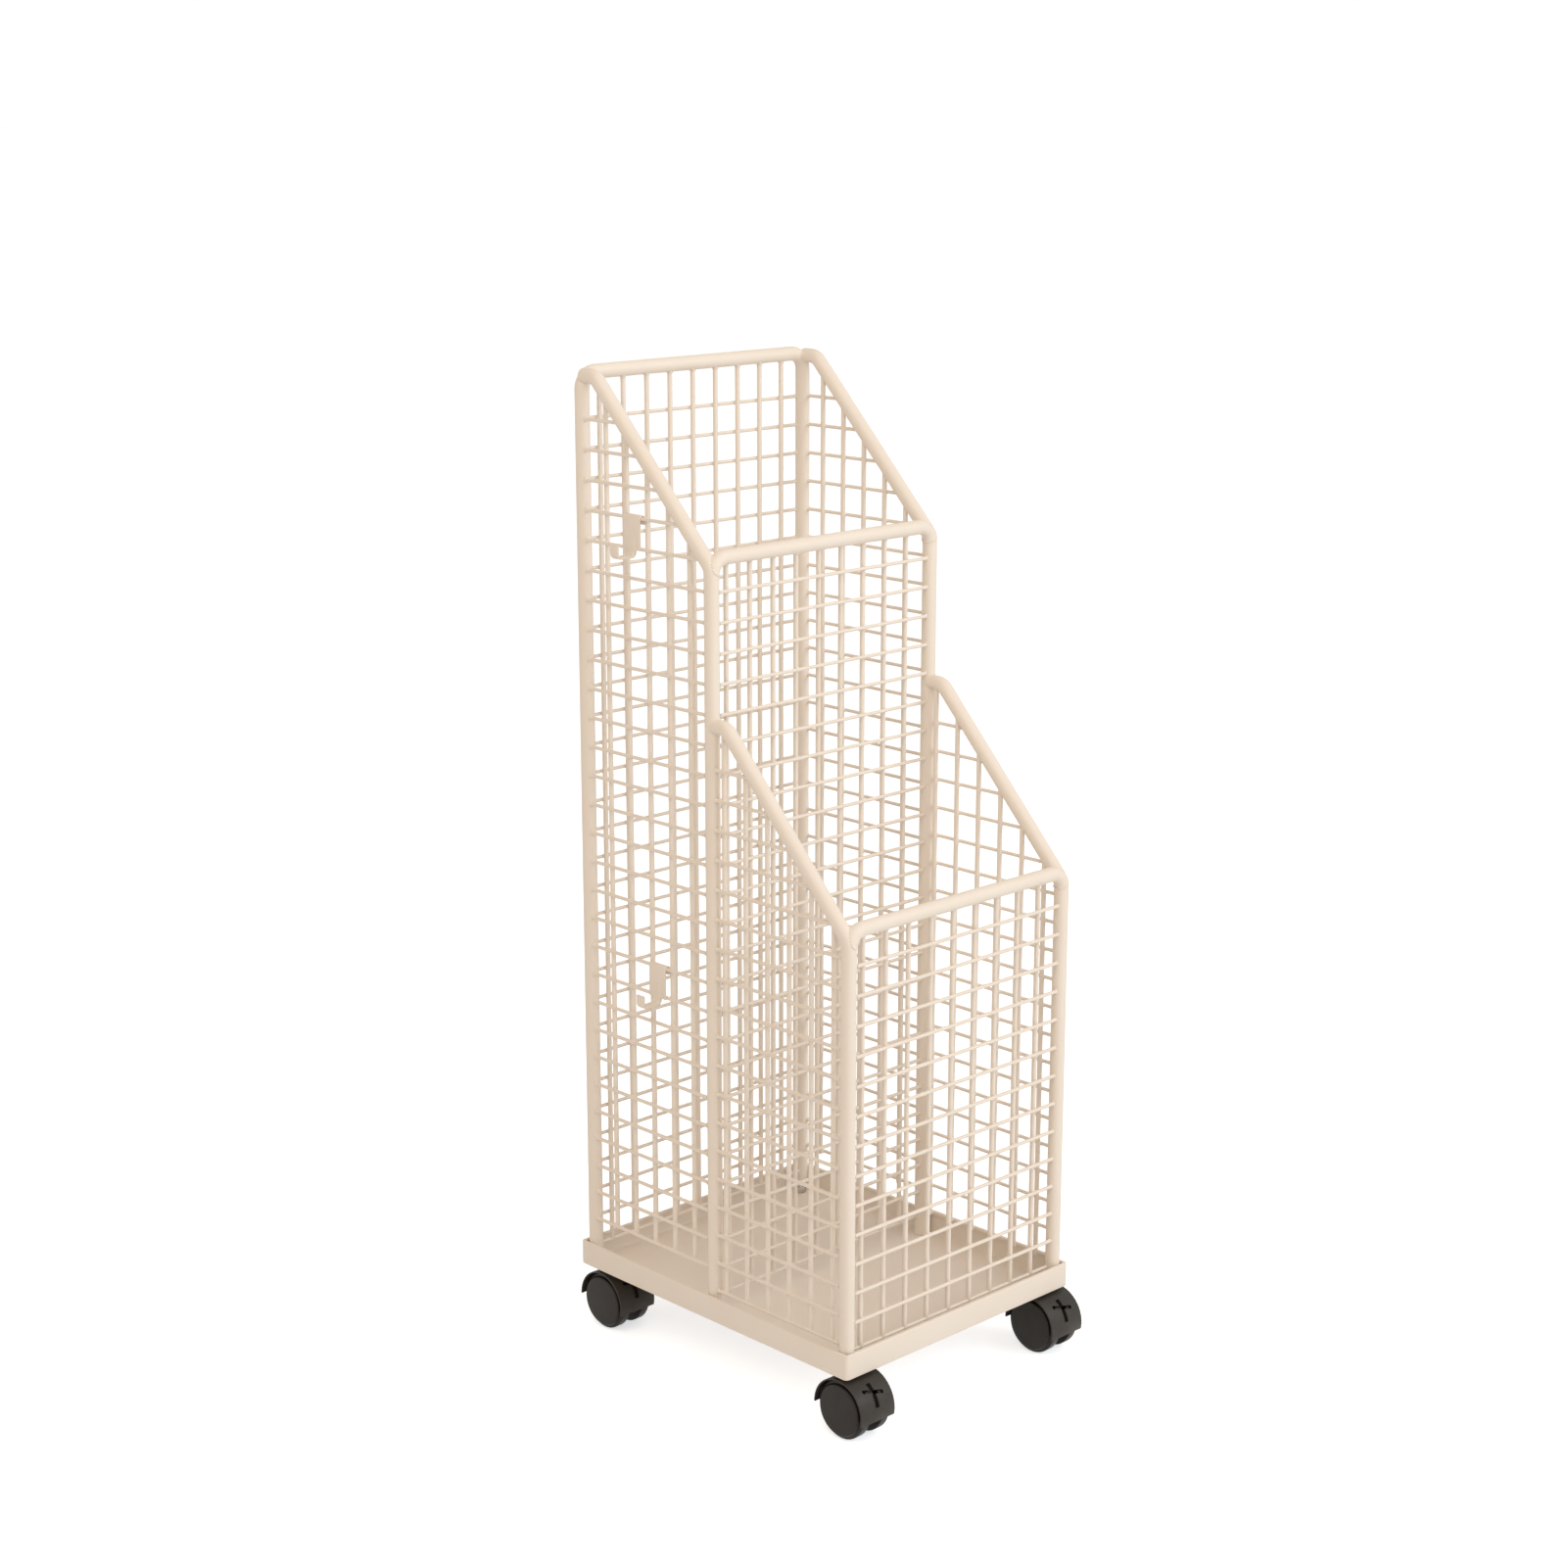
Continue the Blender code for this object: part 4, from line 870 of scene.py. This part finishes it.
stageSettings = {
    "floorColor": (0.90, 0.92, 0.94), "glowColor": (0.95, 0.97, 1.0), "floorGlow": 0.64,
    "floorHalf": 60.0, "floorRough": 0.9, "floorSpecular": 0.1,
    "worldColor": (1.0, 0.87, 0.73), "worldStrength": 0.54,
    "keyPower": 80.0, "keySize": 2.8, "keyAt": (1.6, -3.6, 2.6), "keyColor": (0.92, 0.97, 1.0),
    "fillPower": 24.0, "fillSize": 2.0, "fillAt": (-1.7, -1.0, 2.5), "fillColor": (1.0, 0.87, 0.72),
    "aimHigh": 0.4,
    "cameraAt": (-1.61979, -1.63119, 1.06546), "yaw": 43.9684, "pitch": 13.9328, "lens": 64.968,
}


def seenPlain(tree):
    # one for camera, gloss and transmission rays, so that the surface is white to them only
    path = tree.nodes.new("ShaderNodeLightPath")
    seen = mathNode(tree, "MAXIMUM", path.outputs["Is Camera Ray"], path.outputs["Is Glossy Ray"])
    return mathNode(tree, "MAXIMUM", seen, path.outputs["Is Transmission Ray"])


def makeWorld():
    scene = bpy.context.scene
    scene.view_settings.view_transform = "Standard"
    world = bpy.data.worlds.new("studio")
    scene.world = world
    world.use_nodes = True
    tree = world.node_tree
    back = tree.nodes["Background"]
    back.inputs["Color"].default_value = (*stageSettings["worldColor"], 1)
    back.inputs["Strength"].default_value = stageSettings["worldStrength"]
    bright = tree.nodes.new("ShaderNodeBackground")
    bright.inputs["Color"].default_value = (1, 1, 1, 1)
    bright.inputs["Strength"].default_value = 1.0
    mixer = tree.nodes.new("ShaderNodeMixShader")
    tree.links.new(seenPlain(tree), mixer.inputs["Fac"])
    tree.links.new(back.outputs[0], mixer.inputs[1])
    tree.links.new(bright.outputs[0], mixer.inputs[2])
    tree.links.new(mixer.outputs[0], tree.nodes["World Output"].inputs["Surface"])


def makeFloor():
    bm = bmesh.new()
    bmesh.ops.create_grid(bm, x_segments=1, y_segments=1, size=stageSettings["floorHalf"])
    mesh = bpy.data.meshes.new("floor")
    bm.to_mesh(mesh)
    bm.free()
    floor = bpy.data.objects.new("floor", mesh)
    bpy.context.scene.collection.objects.link(floor)
    material = bpy.data.materials.new("floorWhite")
    material.use_nodes = True
    tree = material.node_tree
    shader = tree.nodes["Principled BSDF"]
    shader.inputs["Base Color"].default_value = (*stageSettings["floorColor"], 1)
    shader.inputs["Roughness"].default_value = stageSettings["floorRough"]
    shader.inputs["Specular IOR Level"].default_value = stageSettings["floorSpecular"]
    glow = tree.nodes.new("ShaderNodeEmission")
    glow.inputs["Color"].default_value = (*stageSettings["glowColor"], 1)
    strength = mathNode(tree, "MULTIPLY", seenPlain(tree), stageSettings["floorGlow"])
    tree.links.new(strength, glow.inputs["Strength"])
    adder = tree.nodes.new("ShaderNodeAddShader")
    tree.links.new(shader.outputs[0], adder.inputs[0])
    tree.links.new(glow.outputs[0], adder.inputs[1])
    tree.links.new(adder.outputs[0], tree.nodes["Material Output"].inputs["Surface"])
    mesh.materials.append(material)


def addLamp(name, aim):
    data = bpy.data.lights.new(name + "Lamp", "AREA")
    data.energy = stageSettings[name + "Power"]
    data.size = stageSettings[name + "Size"]
    data.color = stageSettings[name + "Color"]
    at = stageSettings[name + "At"]
    lamp = bpy.data.objects.new(name + "Lamp", data)
    bpy.context.scene.collection.objects.link(lamp)
    lamp.location = Vector(at)
    lamp.rotation_mode = "QUATERNION"
    lamp.rotation_quaternion = (Vector(at) - Vector(aim)).to_track_quat("Z", "Y")


def makeCamera():
    data = bpy.data.cameras.new("camera")
    data.lens = stageSettings["lens"]
    data.sensor_width = 36.0
    data.clip_start = 0.05
    data.clip_end = 100.0
    camera = bpy.data.objects.new("camera", data)
    bpy.context.scene.collection.objects.link(camera)
    camera.location = Vector(stageSettings["cameraAt"]) + Vector((midX, midY, 0))
    tilt, turn = math.radians(90 - stageSettings["pitch"]), math.radians(-stageSettings["yaw"])
    camera.rotation_euler = (tilt, 0, turn)
    bpy.context.scene.camera = camera


makeWorld()
makeFloor()
aim = (midX, midY, stageSettings["aimHigh"])
addLamp("key", aim)
addLamp("fill", aim)
makeCamera()
print("stage ready")

bpy.context.view_layer.update()
